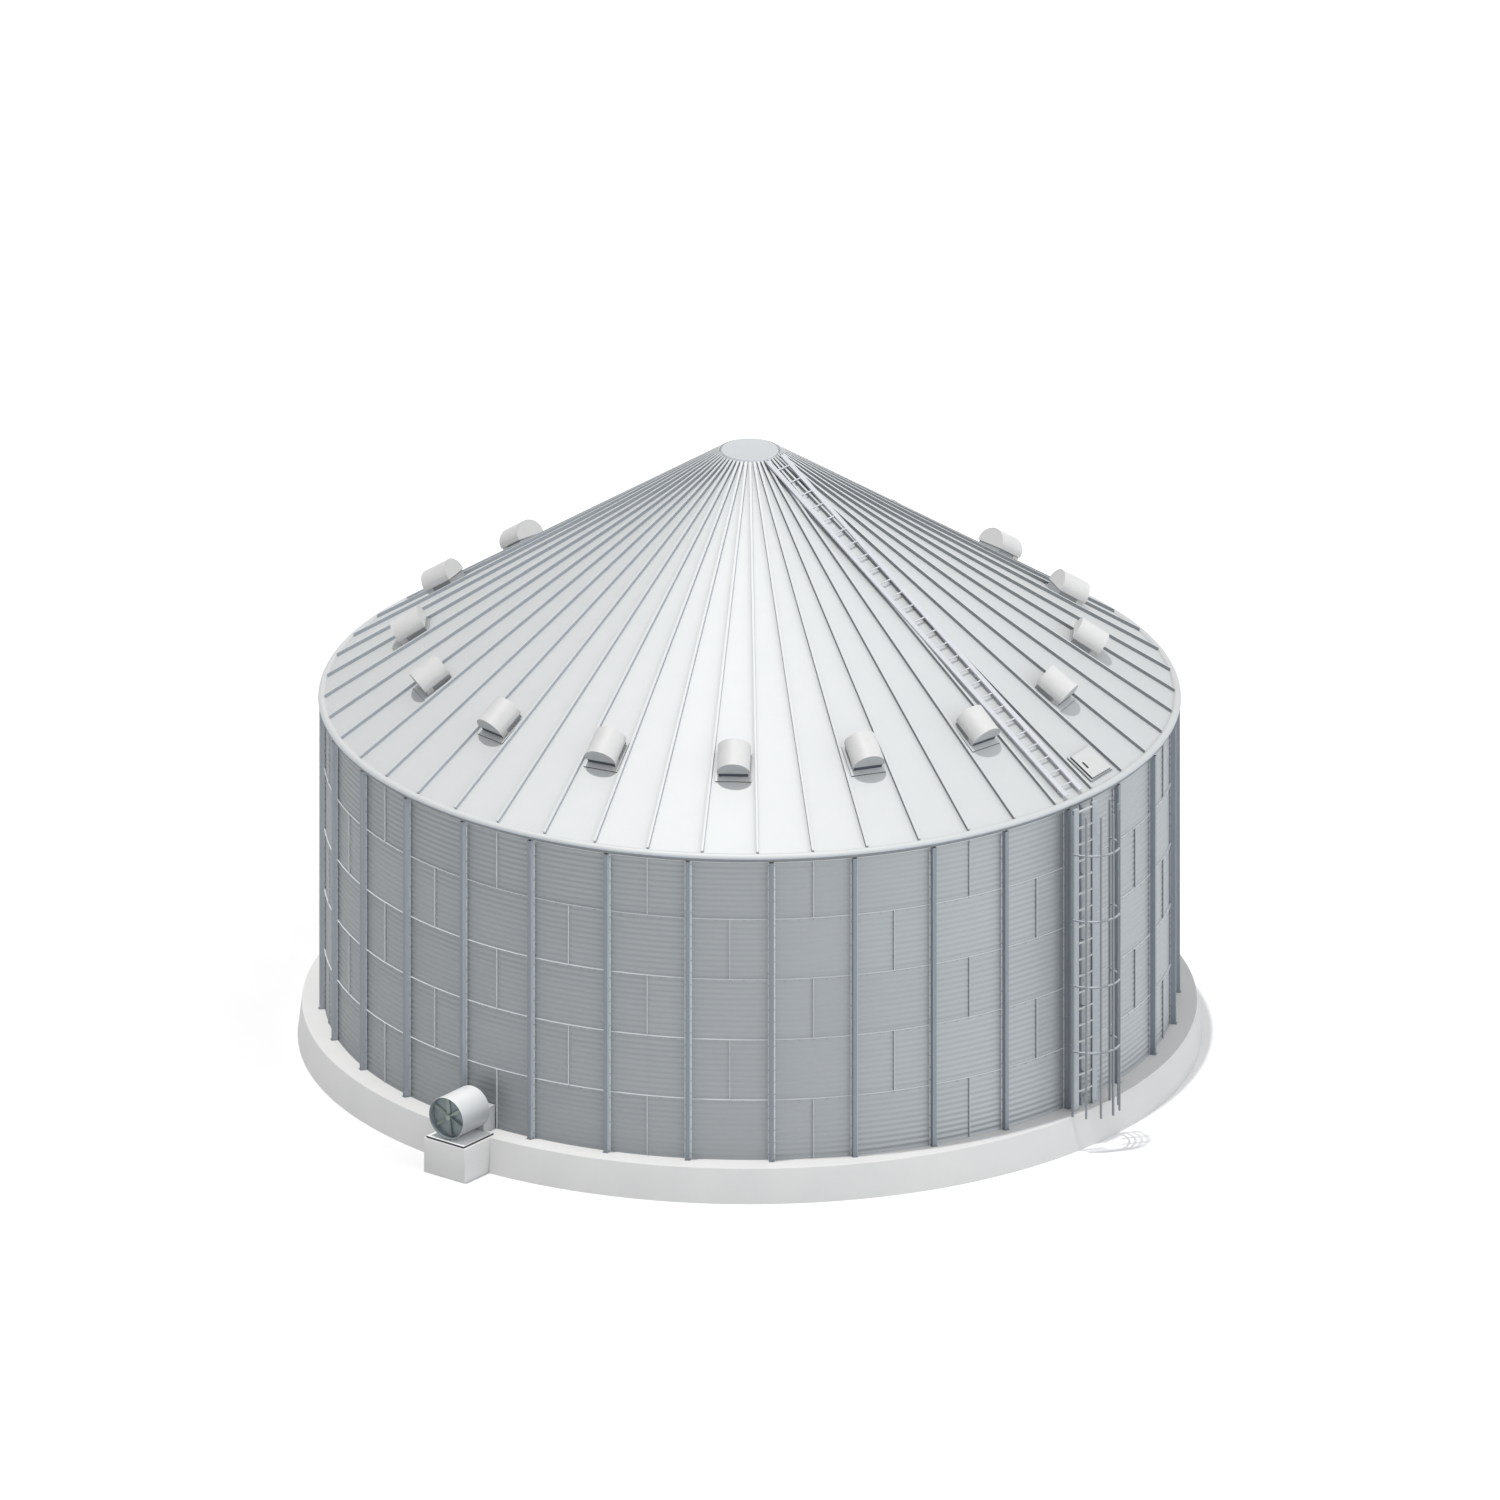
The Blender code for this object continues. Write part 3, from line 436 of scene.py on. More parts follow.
point_count = CORRUGATIONS * POINTS_PER_CORRUGATION
points = []
for number in range(point_count + 1):
    height = RING_HEIGHT * number / point_count
    wave = math.cos(2 * math.pi * number / POINTS_PER_CORRUGATION)
    points.append((WALL_RADIUS - CORRUGATION_DEPTH / 2 + wave * CORRUGATION_DEPTH / 2, 0, height))
ring_master = drawn("ring_master", points)
spun(ring_master, WALL_TURNS)
modify(ring_master, "SOLIDIFY", thickness=SHEET_THICKNESS, offset=-1)
smooth(ring_master, 60)
coat(ring_master, wall_steel)
for number in range(RING_COUNT):
    lift = SLAB_HEIGHT + WALL_FOOT + number * RING_HEIGHT
    ring = twin(ring_master, Matrix.Translation((0, 0, lift)), f"wall_ring_{number + 1}")
    if number == RING_COUNT - 1:
        # The top ring ends under the eave ring.
        edit(ring)
        pick_all()
        bpy.ops.mesh.bisect(
            plane_co=(0, 0, SLAB_HEIGHT + WALL_TOP), plane_no=(0, 0, 1), clear_outer=True,
            use_fill=False)
        pick_open_edges()
        bpy.ops.mesh.bridge_edge_loops()
        leave_edit()
    if number == 0:
        # The fan's air port.
        port = bar("port_cutter", around(WALL_RADIUS, 0.1), around(0, PORT_HALF_WIDTH),
                   (PORT_LOW, PORT_HIGH), 0)
        port.data.transform(outwards(FAN_AZIMUTH))
        cut(ring, port)
    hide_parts(*WALL_NODES)
    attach(ring, "silo")
remove(ring_master)


# The seams of the wall. Where two rings meet, a narrow ledge runs round the wall and under the
# stiffeners. Where two sheets meet, a thin lip stands out. Both are folded from the sheet.

LEDGE_DEPTH = 0.020
LEDGE_HEIGHT = 0.009
LEDGE_ROOT = 0.006
LIP_DEPTH = 0.020
LIP_THICKNESS = 0.010
LIP_ROOT = 0.008


def mottled(name, low, high, rough, metallic=0.0, scale=14.0):
    """A coat whose colour and roughness vary softly between two values."""
    material, tree, shader = shader_of(name)
    mottle = noise(tree, scale, 4.0)
    tree.links.new(ramp(tree, mottle, low, high), shader.inputs["Base Color"])
    tree.links.new(spread(tree, mottle, *rough), shader.inputs["Roughness"])
    shader.inputs["Metallic"].default_value = metallic
    return material


def band(name, inner, outer, start, end, turns):
    """A flat ring between two radii and two heights."""
    corners = [(inner, start), (outer, start), (outer, end), (inner, end), (inner, start)]
    piece = drawn(name, [(radius, 0, height) for radius, height in corners])
    spun(piece, turns)
    return piece


# Painted shade: a darker copy of the steel for flanks, undersides and side faces. Painted highlight: a
# lighter copy for seams, ledges, lips and flanges.
painted_shade_steel = mottled("painted_shade_flank", (0.17, 0.185, 0.195), (0.20, 0.215, 0.225), (0.62, 0.75))
painted_light_seam_steel = mottled("painted_light_seam_zinc", (0.58, 0.60, 0.62), (0.62, 0.64, 0.66), (0.50, 0.60))

pieces = []
for number in range(1, RING_COUNT):
    height = SLAB_HEIGHT + number * RING_HEIGHT
    pieces.append(band("ledge", WALL_RADIUS - LEDGE_ROOT, WALL_RADIUS + LEDGE_DEPTH,
                       height - LEDGE_HEIGHT / 2, height + LEDGE_HEIGHT / 2, WALL_TURNS))
ledges = joined(pieces, "ring_ledges")
smooth(ledges, 40)
# The ledges get the lighter coat: painted highlight.
coat(ledges, painted_light_seam_steel)
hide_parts(*WALL_NODES)
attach(ledges, "silo")

lip_master = bar(
    "lip_master", (WALL_RADIUS - LIP_ROOT, WALL_RADIUS + LIP_DEPTH), around(0, LIP_THICKNESS / 2),
    (LEDGE_HEIGHT / 2, RING_HEIGHT - LEDGE_HEIGHT / 2 - 0.001), 0.001, 1)
# Each lip is lighter on its outer and +Y faces and darker on its -Y face: painted highlight and painted
# shade.
coat(lip_master, painted_light_seam_steel)
coat_faces(lip_master, painted_shade_steel, lambda middle, normal: normal.y < -0.5)
pieces = []
for number in range(RING_COUNT):
    stagger = 0.5 if number % 2 == 0 else 0.0
    for sheet in range(SHEETS_PER_RING):
        azimuth = (sheet + stagger) * 360 / SHEETS_PER_RING
        lift = Matrix.Translation((0, 0, number * RING_HEIGHT))
        pieces.append(twin(lip_master, outwards(azimuth) @ lift, "lip"))
lips = joined(pieces, "sheet_lips")
remove(lip_master)
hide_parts(*WALL_NODES)
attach(lips, "silo")


# The stiffeners. Thirty-two uprights of folded hat section, bolted through their flanges to the
# wall's crests, from the slab to the eave. Each stands on a small foot plate.

STIFFENER_COUNT = 32
STIFFENER_PITCH = 360 / STIFFENER_COUNT
STIFFENER_FACE = 7.41
STIFFENER_WIDTH = 0.077
FACE_TAPER = 0.003
FLANGE_WIDTH = 0.13
FLANGE_RADIUS = 7.3205
HAT_THICKNESS = 0.0035
FOOT_INNER = 7.32
FOOT_OUTER = 7.43
FOOT_HALF_WIDTH = 0.05
FOOT_TOP = 0.0085
BOLT_RADIUS = 0.0085
BOLT_HEIGHT = 0.007
BOLTS_PER_ROW = 25
BOLT_PITCH = 0.2235
FIRST_BOLT = 0.1
SEAM_BOLTS_PER_BAY = 5
SEAM_BOLT_DROP = 0.035


def drum(name, sides, radius, depth, middle):
    """A cylinder or prism along X."""
    deselect()
    bpy.ops.mesh.primitive_cylinder_add(
        vertices=sides, radius=radius, depth=depth, location=middle, rotation=(0, math.pi / 2, 0))
    return named(name)


def hex_bolt(name):
    """A hexagon head with its chamfer, standing along X from the origin."""
    piece = drum(name, 6, BOLT_RADIUS, BOLT_HEIGHT, (BOLT_HEIGHT / 2, 0, 0))
    edit(piece)
    pick_faces(piece, lambda middle, normal: normal.x > 0.9)
    bpy.ops.mesh.inset(thickness=BOLT_RADIUS * 0.22)
    bpy.ops.transform.translate(value=(BOLT_HEIGHT * 0.2, 0, 0))
    leave_edit()
    return piece


# Hot-dip coated sections are smoother and bluer than the wall's sheet.
fittings_steel = mottled("galvanised_fittings", (0.215, 0.24, 0.27), (0.24, 0.265, 0.295), (0.50, 0.58), 0.4)
# A mid coat: painted light on the stiffeners' +Y flanks, painted shade on the eave's lower half and one rib
# flank.
painted_light_shade_steel = mottled("painted_light_shade_flank", (0.385, 0.42, 0.455), (0.415, 0.45, 0.485), (0.50, 0.60))

half_face = STIFFENER_WIDTH / 2
half_flange = FLANGE_WIDTH / 2
profile = [
    (FLANGE_RADIUS, -half_flange), (FLANGE_RADIUS, -half_face),
    (STIFFENER_FACE, -half_face + FACE_TAPER), (STIFFENER_FACE, half_face - FACE_TAPER),
    (FLANGE_RADIUS, half_face), (FLANGE_RADIUS, half_flange)]
hat = drawn("hat_master", [(x, y, WALL_FOOT) for x, y in profile])
pick_all()
bpy.ops.mesh.extrude_region_move(TRANSFORM_OT_translate={"value": (0, 0, WALL_TOP - 2 * WALL_FOOT)})
turn_outwards()
if hat.data.polygons[2].normal.x < 0:
    hat.data.flip_normals()
modify(hat, "SOLIDIFY", thickness=HAT_THICKNESS, offset=-1, use_even_offset=True)
foot = bar("foot", (FOOT_INNER, FOOT_OUTER), around(0, FOOT_HALF_WIDTH), (SEAT, FOOT_TOP), 0.002, 1)
hat_master = joined([hat, foot], "hat_master")
coat(hat_master, fittings_steel)
# The +Y flank gets the lighter mid coat: painted light.
coat_faces(hat_master, painted_light_shade_steel, lambda middle, normal: normal.y > 0.5)
# The flanges get the seams' lighter coat: painted highlight.
coat_faces(hat_master, painted_light_seam_steel, lambda middle, normal: normal.x > 0.5 and middle.x < FLANGE_RADIUS + 0.001)
bolt = hex_bolt("bolt")
row = twin(bolt, Matrix.Translation((FLANGE_RADIUS, -(half_face + half_flange) / 2, FIRST_BOLT)), "row")
modify(row, "ARRAY", count=BOLTS_PER_ROW, use_relative_offset=False, use_constant_offset=True,
       constant_offset_displace=(0, 0, BOLT_PITCH))
other_row = twin(row, Matrix.Translation((0, half_face + half_flange, 0)), "other_row")
bolt_master = joined([row, other_row], "bolt_master")
hats = []
bolt_rows = []
for number in range(STIFFENER_COUNT):
    place = outwards(STIFFENER_PITCH * (number + 0.5))
    hats.append(twin(hat_master, place, "hat"))
    bolt_rows.append(twin(bolt_master, place, "bolt_row"))
remove(hat_master, bolt_master)
stiffeners = joined(hats, "wall_stiffeners")
stiffener_bolts = joined(bolt_rows, "stiffener_bolts")
coat(stiffener_bolts, fittings_steel)
for piece in (stiffeners, stiffener_bolts):
    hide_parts(*WALL_NODES)
    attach(piece, "silo")

# The rings are bolted to each other in a row just under each ledge.
pieces = []
for number in range(1, RING_COUNT):
    for bay in range(STIFFENER_COUNT):
        for step in range(SEAM_BOLTS_PER_BAY):
            azimuth = STIFFENER_PITCH * (bay + 0.5 + (step + 1) / (SEAM_BOLTS_PER_BAY + 1))
            lift = Matrix.Translation((WALL_RADIUS - 0.001, 0, number * RING_HEIGHT - SEAM_BOLT_DROP))
            pieces.append(twin(bolt, outwards(azimuth) @ lift, "seam_bolt"))
seam_bolts = joined(pieces, "ring_bolts")
remove(bolt)
coat(seam_bolts, fittings_steel)
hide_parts(*WALL_NODES)
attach(seam_bolts, "silo")


# The eave ring. A rolled tube of sheet that closes the joint of wall and roof, with a narrow
# drip edge under it where the wall's sheet ends.

EAVE_RADIUS = 7.345
EAVE_HEIGHT = 5.617
EAVE_TUBE = 0.0765
EAVE_TURNS = 192
EAVE_INNER = 7.27
ARC_START = 200
ARC_SWEEP = 290
ARC_STEPS = 16
DRIP_INNER = 7.312
DRIP_OUTER = 7.338
DRIP_DEPTH = 0.02


def galvanised_bright():
    """The brighter coat of the roof and of what is fixed on it, darker towards +X: painted shade."""
    material, tree, shader = shader_of("galvanised_roof_sheet")
    clouds = ramp(tree, noise(tree, 3.0, 4.0), (0.510, 0.521, 0.526), (0.520, 0.529, 0.534))
    # Painted shade: the roof's colour darkens from the middle towards +X.
    painted_side_shade = ramp(tree, fade(tree, "X", 0.0, 7.3), (1.0, 1.0, 1.0), (0.88, 0.88, 0.88), 0.0, 1.0)
    tree.links.new(times(tree, clouds, painted_side_shade), shader.inputs["Base Color"])
    tree.links.new(spread(tree, noise(tree, 30.0, 2.0), 0.60, 0.62), shader.inputs["Roughness"])
    shader.inputs["Metallic"].default_value = 0.2
    return material


roof_coat = galvanised_bright()

points = []
for step in range(ARC_STEPS + 1):
    angle = math.radians(ARC_START - step * ARC_SWEEP / ARC_STEPS)
    points.append((EAVE_RADIUS + EAVE_TUBE * math.cos(angle), 0,
                   SLAB_HEIGHT + EAVE_HEIGHT + EAVE_TUBE * math.sin(angle)))
points.append((EAVE_INNER, 0, points[-1][2]))
points.append((EAVE_INNER, 0, points[0][2]))
points.append(points[0])
eave = drawn("eave_tube", points)
spun(eave, EAVE_TURNS)
smooth(eave, 40)
coat(eave, roof_coat)
# The tube's lower half gets a darker coat and its underside a darker one still: painted shade.
coat_faces(eave, painted_light_shade_steel, lambda middle, normal: normal.z < 0.30)
coat_faces(eave, painted_shade_steel, lambda middle, normal: normal.z < -0.05)
drip_top = SLAB_HEIGHT + EAVE_HEIGHT - EAVE_TUBE
drip = band("drip_edge", DRIP_INNER, DRIP_OUTER, drip_top, drip_top - DRIP_DEPTH, EAVE_TURNS)
smooth(drip, 40)
# The drip edge gets the lighter coat: painted highlight.
coat(drip, painted_light_seam_steel)
for piece, slot in ((eave, "roof_steel"), (drip, "galvanised_steel")):
    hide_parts("eave_ring")
    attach(piece, "silo")


# The roof. Forty-eight flat tapered sheets, each with a standing rib along one side that hooks
# over the next sheet, screwed down along the eave.

SECTOR_COUNT = 8
SHEETS_PER_SECTOR = 6
SECTOR_START = 11.25
RIB_PITCH = 360 / (SECTOR_COUNT * SHEETS_PER_SECTOR)
RIDGE_TAN = 0.661
RIDGE_APEX = 10.494
RIDGE_SLOPE = math.atan(RIDGE_TAN)
PANEL_TAN = RIDGE_TAN / math.cos(math.radians(RIB_PITCH / 2))
PANEL_SLOPE = math.atan(PANEL_TAN)
ROOF_INNER = 0.43
ROOF_OUTER = 7.3124
ROOF_SHEET = 0.0025
RIB_HEIGHT = 0.058
RIB_WIDTH = 0.045
RIB_ROOT = 0.006
RIB_INNER = 0.50
RIB_OUTER = 7.29
HATCH_AZIMUTH = 60.0
HATCH_RADIUS = 6.942
HOLE_HALF_LENGTH = 0.21
HOLE_HALF_WIDTH = 0.23


def down_slope(azimuth, radius):
    """X down the slope, Y sideways and Z out of a roof sheet, at its middle line."""
    place = Matrix.Translation((radius, 0, RIDGE_APEX - PANEL_TAN * radius))
    return outwards(azimuth) @ place @ Matrix.Rotation(PANEL_SLOPE, 4, "Y")


def hole_cutter():
    """A block as long and wide as the hatch's hole, round the origin."""
    return bar("hole_cutter", around(0, HOLE_HALF_LENGTH), around(0, HOLE_HALF_WIDTH), around(0, 0.1), 0)


half_pitch = math.radians(RIB_PITCH / 2)
corners = []
for radius, side in ((ROOF_INNER, -1), (ROOF_OUTER, -1), (ROOF_OUTER, 1), (ROOF_INNER, 1)):
    corners.append((radius * math.cos(half_pitch), side * radius * math.sin(half_pitch),
                    RIDGE_APEX - RIDGE_TAN * radius))
sheet = drawn("sheet_master", corners)
pick_all()
bpy.ops.mesh.edge_face_add()
leave_edit()
if sheet.data.polygons[0].normal.z < 0:
    sheet.data.flip_normals()
modify(sheet, "SOLIDIFY", thickness=ROOF_SHEET, offset=-1)
rib_length = (RIB_OUTER - RIB_INNER) / math.cos(RIDGE_SLOPE)
rib = bar("rib_master", (0, rib_length), around(0, RIB_WIDTH / 2), (-RIB_ROOT, RIB_HEIGHT), 0.004, 1)
ridge = Matrix.Translation((RIB_INNER, 0, RIDGE_APEX - RIDGE_TAN * RIB_INNER))
turn = Matrix.Rotation(half_pitch, 4, "Z")
coat(rib, roof_coat)
# The rib's -Y flank gets a dark coat and its +Y flank a mid coat: painted shade.
coat_faces(rib, painted_shade_steel, lambda middle, normal: normal.y < -0.8)
coat_faces(rib, painted_light_shade_steel, lambda middle, normal: normal.y > 0.8)
rib.data.transform(turn @ ridge @ Matrix.Rotation(RIDGE_SLOPE, 4, "Y"))
coat(sheet, roof_coat)
sheet_master = joined([sheet, rib], "sheet_master")
for sector in range(SECTOR_COUNT):
    pieces = []
    for number in range(SHEETS_PER_SECTOR):
        azimuth = SECTOR_START + sector * 360 / SECTOR_COUNT + (number + 0.5) * RIB_PITCH
        sheet = twin(sheet_master, outwards(azimuth), "roof_sheet")
        if abs(azimuth - HATCH_AZIMUTH) < 0.1:
            hole = hole_cutter()
            hole.data.transform(down_slope(HATCH_AZIMUTH, HATCH_RADIUS))
            cut(sheet, hole)
        pieces.append(sheet)
    sheets = joined(pieces, f"roof_sheets_{sector + 1}")
    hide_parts(f"roof_{sector + 1:02d}")
    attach(sheets, "silo")
remove(sheet_master)


# The peak cap. A flat round lid of the same sheet with a turned-down rim, which covers the
# sheets' upper ends.

CAP_RADIUS = 0.49
CAP_TOP = 10.225
CAP_DEPTH = 0.05
CAP_RIM = 0.03
CAP_DISH = 0.003

cap_zinc = mottled("cap_zinc", (0.45, 0.468, 0.48), (0.46, 0.478, 0.49), (0.58, 0.62), 0.2, 5.0)
cap_side_painted_light = mottled("painted_light_rim", (0.66, 0.685, 0.71), (0.72, 0.745, 0.77), (0.50, 0.62))
deselect()
bpy.ops.mesh.primitive_cylinder_add(
    vertices=96, radius=CAP_RADIUS, depth=CAP_DEPTH, location=(0, 0, SLAB_HEIGHT + CAP_TOP - CAP_DEPTH / 2))
cap = named("peak_lid")
edit(cap)
pick_edges(cap, lambda a, b: min(a.z, b.z) > SLAB_HEIGHT + CAP_TOP - 0.001)
bpy.ops.mesh.bevel(offset=0.005, segments=2)
pick_faces(cap, lambda middle, normal: normal.z > 0.9 and middle.xy.length < 0.1)
bpy.ops.mesh.inset(thickness=CAP_RIM)
bpy.ops.transform.translate(value=(0, 0, -CAP_DISH))
smooth(cap, 35)
coat(cap, cap_zinc)
# The cap's side gets a lighter coat: painted light.
coat_faces(cap, cap_side_painted_light, lambda middle, normal: normal.z < 0.3)
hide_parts("peak_cap")
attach(cap, "silo")


# The roof vents. Sixteen arched hoods of off-white sheet, each on a flanged curb that is screwed
# to the roof. Woven screens close the sides and the slot in front, and plain cheeks join them.

VENT_COUNT = 16
VENT_RADIUS = 6.04
FLANGE_SIDE = 0.63
FLANGE_TOP = 0.020
CURB_FRONT = -0.100
CURB_BACK = -0.622
CURB_HALF = 0.262
CURB_TOP = 0.020
SKIRT_LOW = 0.120
SPRING = 0.200
ARCH_RISE = 0.212
HOOD_HALF = 0.285
HOOD_FRONT = -0.090
HOOD_BACK = -0.636
HOOD_SHEET = 0.004
ARCH_STEPS = 20
PLATE_SETBACK = 0.003
PLATE_SHEET = 0.005
SCREEN_SETBACK = 0.004
CHEEK_LENGTH = 0.14


def woven_screen(name, gap, wire, azimuth=0.0):
    """Woven wire screen: a fine grid of wires over darker gaps, square to an azimuth."""
    material, tree, shader = shader_of(name)
    place = tree.nodes.new("ShaderNodeTexCoord")
    facing = tree.nodes.new("ShaderNodeMapping")
    turned = Matrix.Rotation(math.radians(-90), 3, "X") @ Matrix.Rotation(math.radians(-azimuth), 3, "Z")
    facing.inputs["Rotation"].default_value = turned.to_euler()
    grid = tree.nodes.new("ShaderNodeTexBrick")
    grid.offset = 0.0
    tune(grid, {"Scale": 60.0, "Brick Width": 0.5, "Row Height": 0.5, "Mortar Size": 0.05})
    tune(grid, {"Color1": (*gap, 1), "Color2": (*gap, 1), "Mortar": (*wire, 1)})
    tree.links.new(place.outputs["Object"], facing.inputs["Vector"])
    tree.links.new(facing.outputs["Vector"], grid.inputs["Vector"])
    tree.links.new(grid.outputs["Color"], shader.inputs["Base Color"])
    shader.inputs["Roughness"].default_value = 0.8
    return material


# The off-white coat, and a greyer copy of it for the front end plate and the curb: painted shade.
white_coat = mottled("off_white_coat", (0.495, 0.495, 0.49), (0.52, 0.52, 0.515), (0.50, 0.60), 0.0, 6.0)
vent_shade = mottled("painted_shade_coat", (0.34, 0.355, 0.365), (0.38, 0.395, 0.405), (0.55, 0.70), 0.0, 9.0)
screen_dark = woven_screen("dark_screen", (0.040, 0.052, 0.065), (0.09, 0.10, 0.12))
side_screen = woven_screen("side_screen", (0.24, 0.25, 0.26), (0.33, 0.34, 0.35))
# A near-black coat for edges, sides and recesses: painted shade.
painted_shade_edge = mottled("painted_shade_edge", (0.030, 0.033, 0.035), (0.045, 0.048, 0.050), (0.70, 0.85), 0.0, 30.0)

arch_radius = (HOOD_HALF ** 2 + ARCH_RISE ** 2) / (2 * ARCH_RISE)
arch_centre = SPRING + ARCH_RISE - arch_radius
arch_angle = math.asin(HOOD_HALF / arch_radius)
arch = [(HOOD_FRONT, -HOOD_HALF, SKIRT_LOW)]
for step in range(ARCH_STEPS + 1):
    angle = arch_angle * (2 * step / ARCH_STEPS - 1)
    arch.append((HOOD_FRONT, arch_radius * math.sin(angle), arch_centre + arch_radius * math.cos(angle)))
arch.append((HOOD_FRONT, HOOD_HALF, SKIRT_LOW))

hood = drawn("hood", arch)
pick_all()
bpy.ops.mesh.extrude_region_move(TRANSFORM_OT_translate={"value": (HOOD_BACK - HOOD_FRONT, 0, 0)})
leave_edit()
if hood.data.polygons[10].normal.z < 0:
    hood.data.flip_normals()
modify(hood, "SOLIDIFY", thickness=HOOD_SHEET, offset=-1)
smooth(hood, 40)
coat(hood, white_coat)

# The end plates close the arch just inside the hood's sheet.
plate = drawn("end_plate", [
    (x - PLATE_SETBACK, y * 0.985, max(z - HOOD_SHEET, SKIRT_LOW + 0.001)) for x, y, z in arch])
pick_all()
bpy.ops.mesh.edge_face_add()
bpy.ops.mesh.extrude_region_move(TRANSFORM_OT_translate={"value": (-PLATE_SHEET, 0, 0)})
turn_outwards()
reach = HOOD_BACK - HOOD_FRONT + 2 * PLATE_SETBACK + PLATE_SHEET
back_plate = twin(plate, Matrix.Translation((reach, 0, 0)), "back_plate")
# The front end plate gets the greyer copy: painted shade.
coat(plate, vent_shade)
coat(back_plate, white_coat)

flange = bar("flange", (-FLANGE_SIDE, 0), around(0, FLANGE_SIDE / 2), (SEAT, FLANGE_TOP), 0.002, 1)
curb = bar("curb", (CURB_BACK, CURB_FRONT), around(0, CURB_HALF), (0.006, CURB_TOP), 0.004)
screen_half = CURB_HALF - SCREEN_SETBACK
screen = bar("screen", (CURB_BACK + SCREEN_SETBACK, CURB_FRONT - SCREEN_SETBACK), around(0, screen_half),
             (CURB_TOP - 0.005, SPRING), 0)
coat(flange, roof_coat)
# The flange's sides get the darker copy and its front edge the near-black coat: painted shade.
coat_faces(flange, painted_shade_steel, lambda middle, normal: normal.z < 0.5)
coat_faces(flange, painted_shade_edge, lambda middle, normal: normal.x > 0.5)
# The curb gets the greyer copy as well: painted shade.
coat(curb, vent_shade)
coat(screen, screen_dark)
coat_faces(screen, side_screen, lambda middle, normal: abs(normal.y) > 0.5 or normal.x < -0.5)
cheeks = []
for side in (-1, 1):
    # A cheek of plain sheet covers the front end of a side's screen.
    near, far = sorted((side * screen_half, side * (CURB_HALF + 0.002)))
    cheek = bar("cheek", (CURB_FRONT - CHEEK_LENGTH, CURB_FRONT - 0.006), (near, far),
                (CURB_TOP - 0.004, SPRING), 0)
    coat(cheek, white_coat)
    cheeks.append(cheek)
vent_master = joined([hood, plate, back_plate, flange, curb, screen, *cheeks], "vent_master")
for number in range(VENT_COUNT):
    place = down_slope(number * 360 / VENT_COUNT, VENT_RADIUS)
    vent = twin(vent_master, place, f"roof_vent_hood_{number + 1}")
    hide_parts(f"roof_vent_{number + 1:02d}")
    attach(vent, "silo")
remove(vent_master)


# The roof ladder. Two flat galvanised rails lie on the ribs from the peak to the eave, with
# welded rungs between them and feet that reach down to the sheets.

LADDER_AZIMUTH = 52.5
RUNG_PITCH = 0.3048
ROOF_LADDER_HALF = 0.2475
ROOF_RAIL_WIDTH = 0.105
ROOF_RAIL_LOW = 0.0595
ROOF_RAIL_HIGH = 0.0895
ROOF_LADDER_INNER = 0.53
ROOF_LADDER_OUTER = 7.25
FIRST_ROOF_RUNG = 0.2286
ROOF_RUNG_HALF = 0.011
FOOT_RADII = (4.9, 6.0, 7.1)
FOOT_LENGTH = 0.05
FOOT_INSET = 0.02

ladder_zinc = mottled("ladder_zinc", (0.485, 0.495, 0.52), (0.505, 0.515, 0.54), (0.50, 0.60), 0.2)
stretch = 1 / math.cos(PANEL_SLOPE)
length = (ROOF_LADDER_OUTER - ROOF_LADDER_INNER) * stretch
inner = ROOF_LADDER_HALF - ROOF_RAIL_WIDTH
rung_height = (ROOF_RAIL_LOW + ROOF_RAIL_HIGH) / 2
pieces = []
for side in (-1, 1):
    near, far = sorted((side * inner, side * ROOF_LADDER_HALF))
    pieces.append(bar("rail", (0, length), (near, far), (ROOF_RAIL_LOW, ROOF_RAIL_HIGH), 0.003))
    for radius in FOOT_RADII:
        along = (radius - ROOF_LADDER_INNER) * stretch
        pieces.append(bar("foot", (along, along + FOOT_LENGTH), (near + FOOT_INSET, far - FOOT_INSET),
                          (SEAT, rung_height), 0))
for number in range(int(length / RUNG_PITCH)):
    along = FIRST_ROOF_RUNG + number * RUNG_PITCH
    pieces.append(bar("rung", around(along, ROOF_RUNG_HALF), around(0, inner + 0.01),
                      around(rung_height, ROOF_RUNG_HALF), 0.003))
roof_ladder = joined(pieces, "roof_ladder_frame")
roof_ladder.data.transform(down_slope(LADDER_AZIMUTH, ROOF_LADDER_INNER))
coat(roof_ladder, ladder_zinc)
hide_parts("roof_ladder")
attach(roof_ladder, "silo")


# The wall ladder. Two wide folded rails stand on the slab and reach to the eave, with square
# rungs between them and a narrow bar behind, tied to every fourth rung.

RAIL_SPACING = 0.486
RAIL_WIDTH = 0.13
RAIL_INNER = 7.523
RAIL_OUTER = 7.568
LADDER_TOP = 5.588
RUNG_RADIUS = 7.550
FIRST_RUNG = 0.335
RUNG_COUNT = 18
RUNG_HALF = 0.016
TIE_INNER = 7.44
TIE_HALF = 0.012
SPINE_INNER = 7.428
SPINE_OUTER = 7.466
SPINE_HALF = 0.017

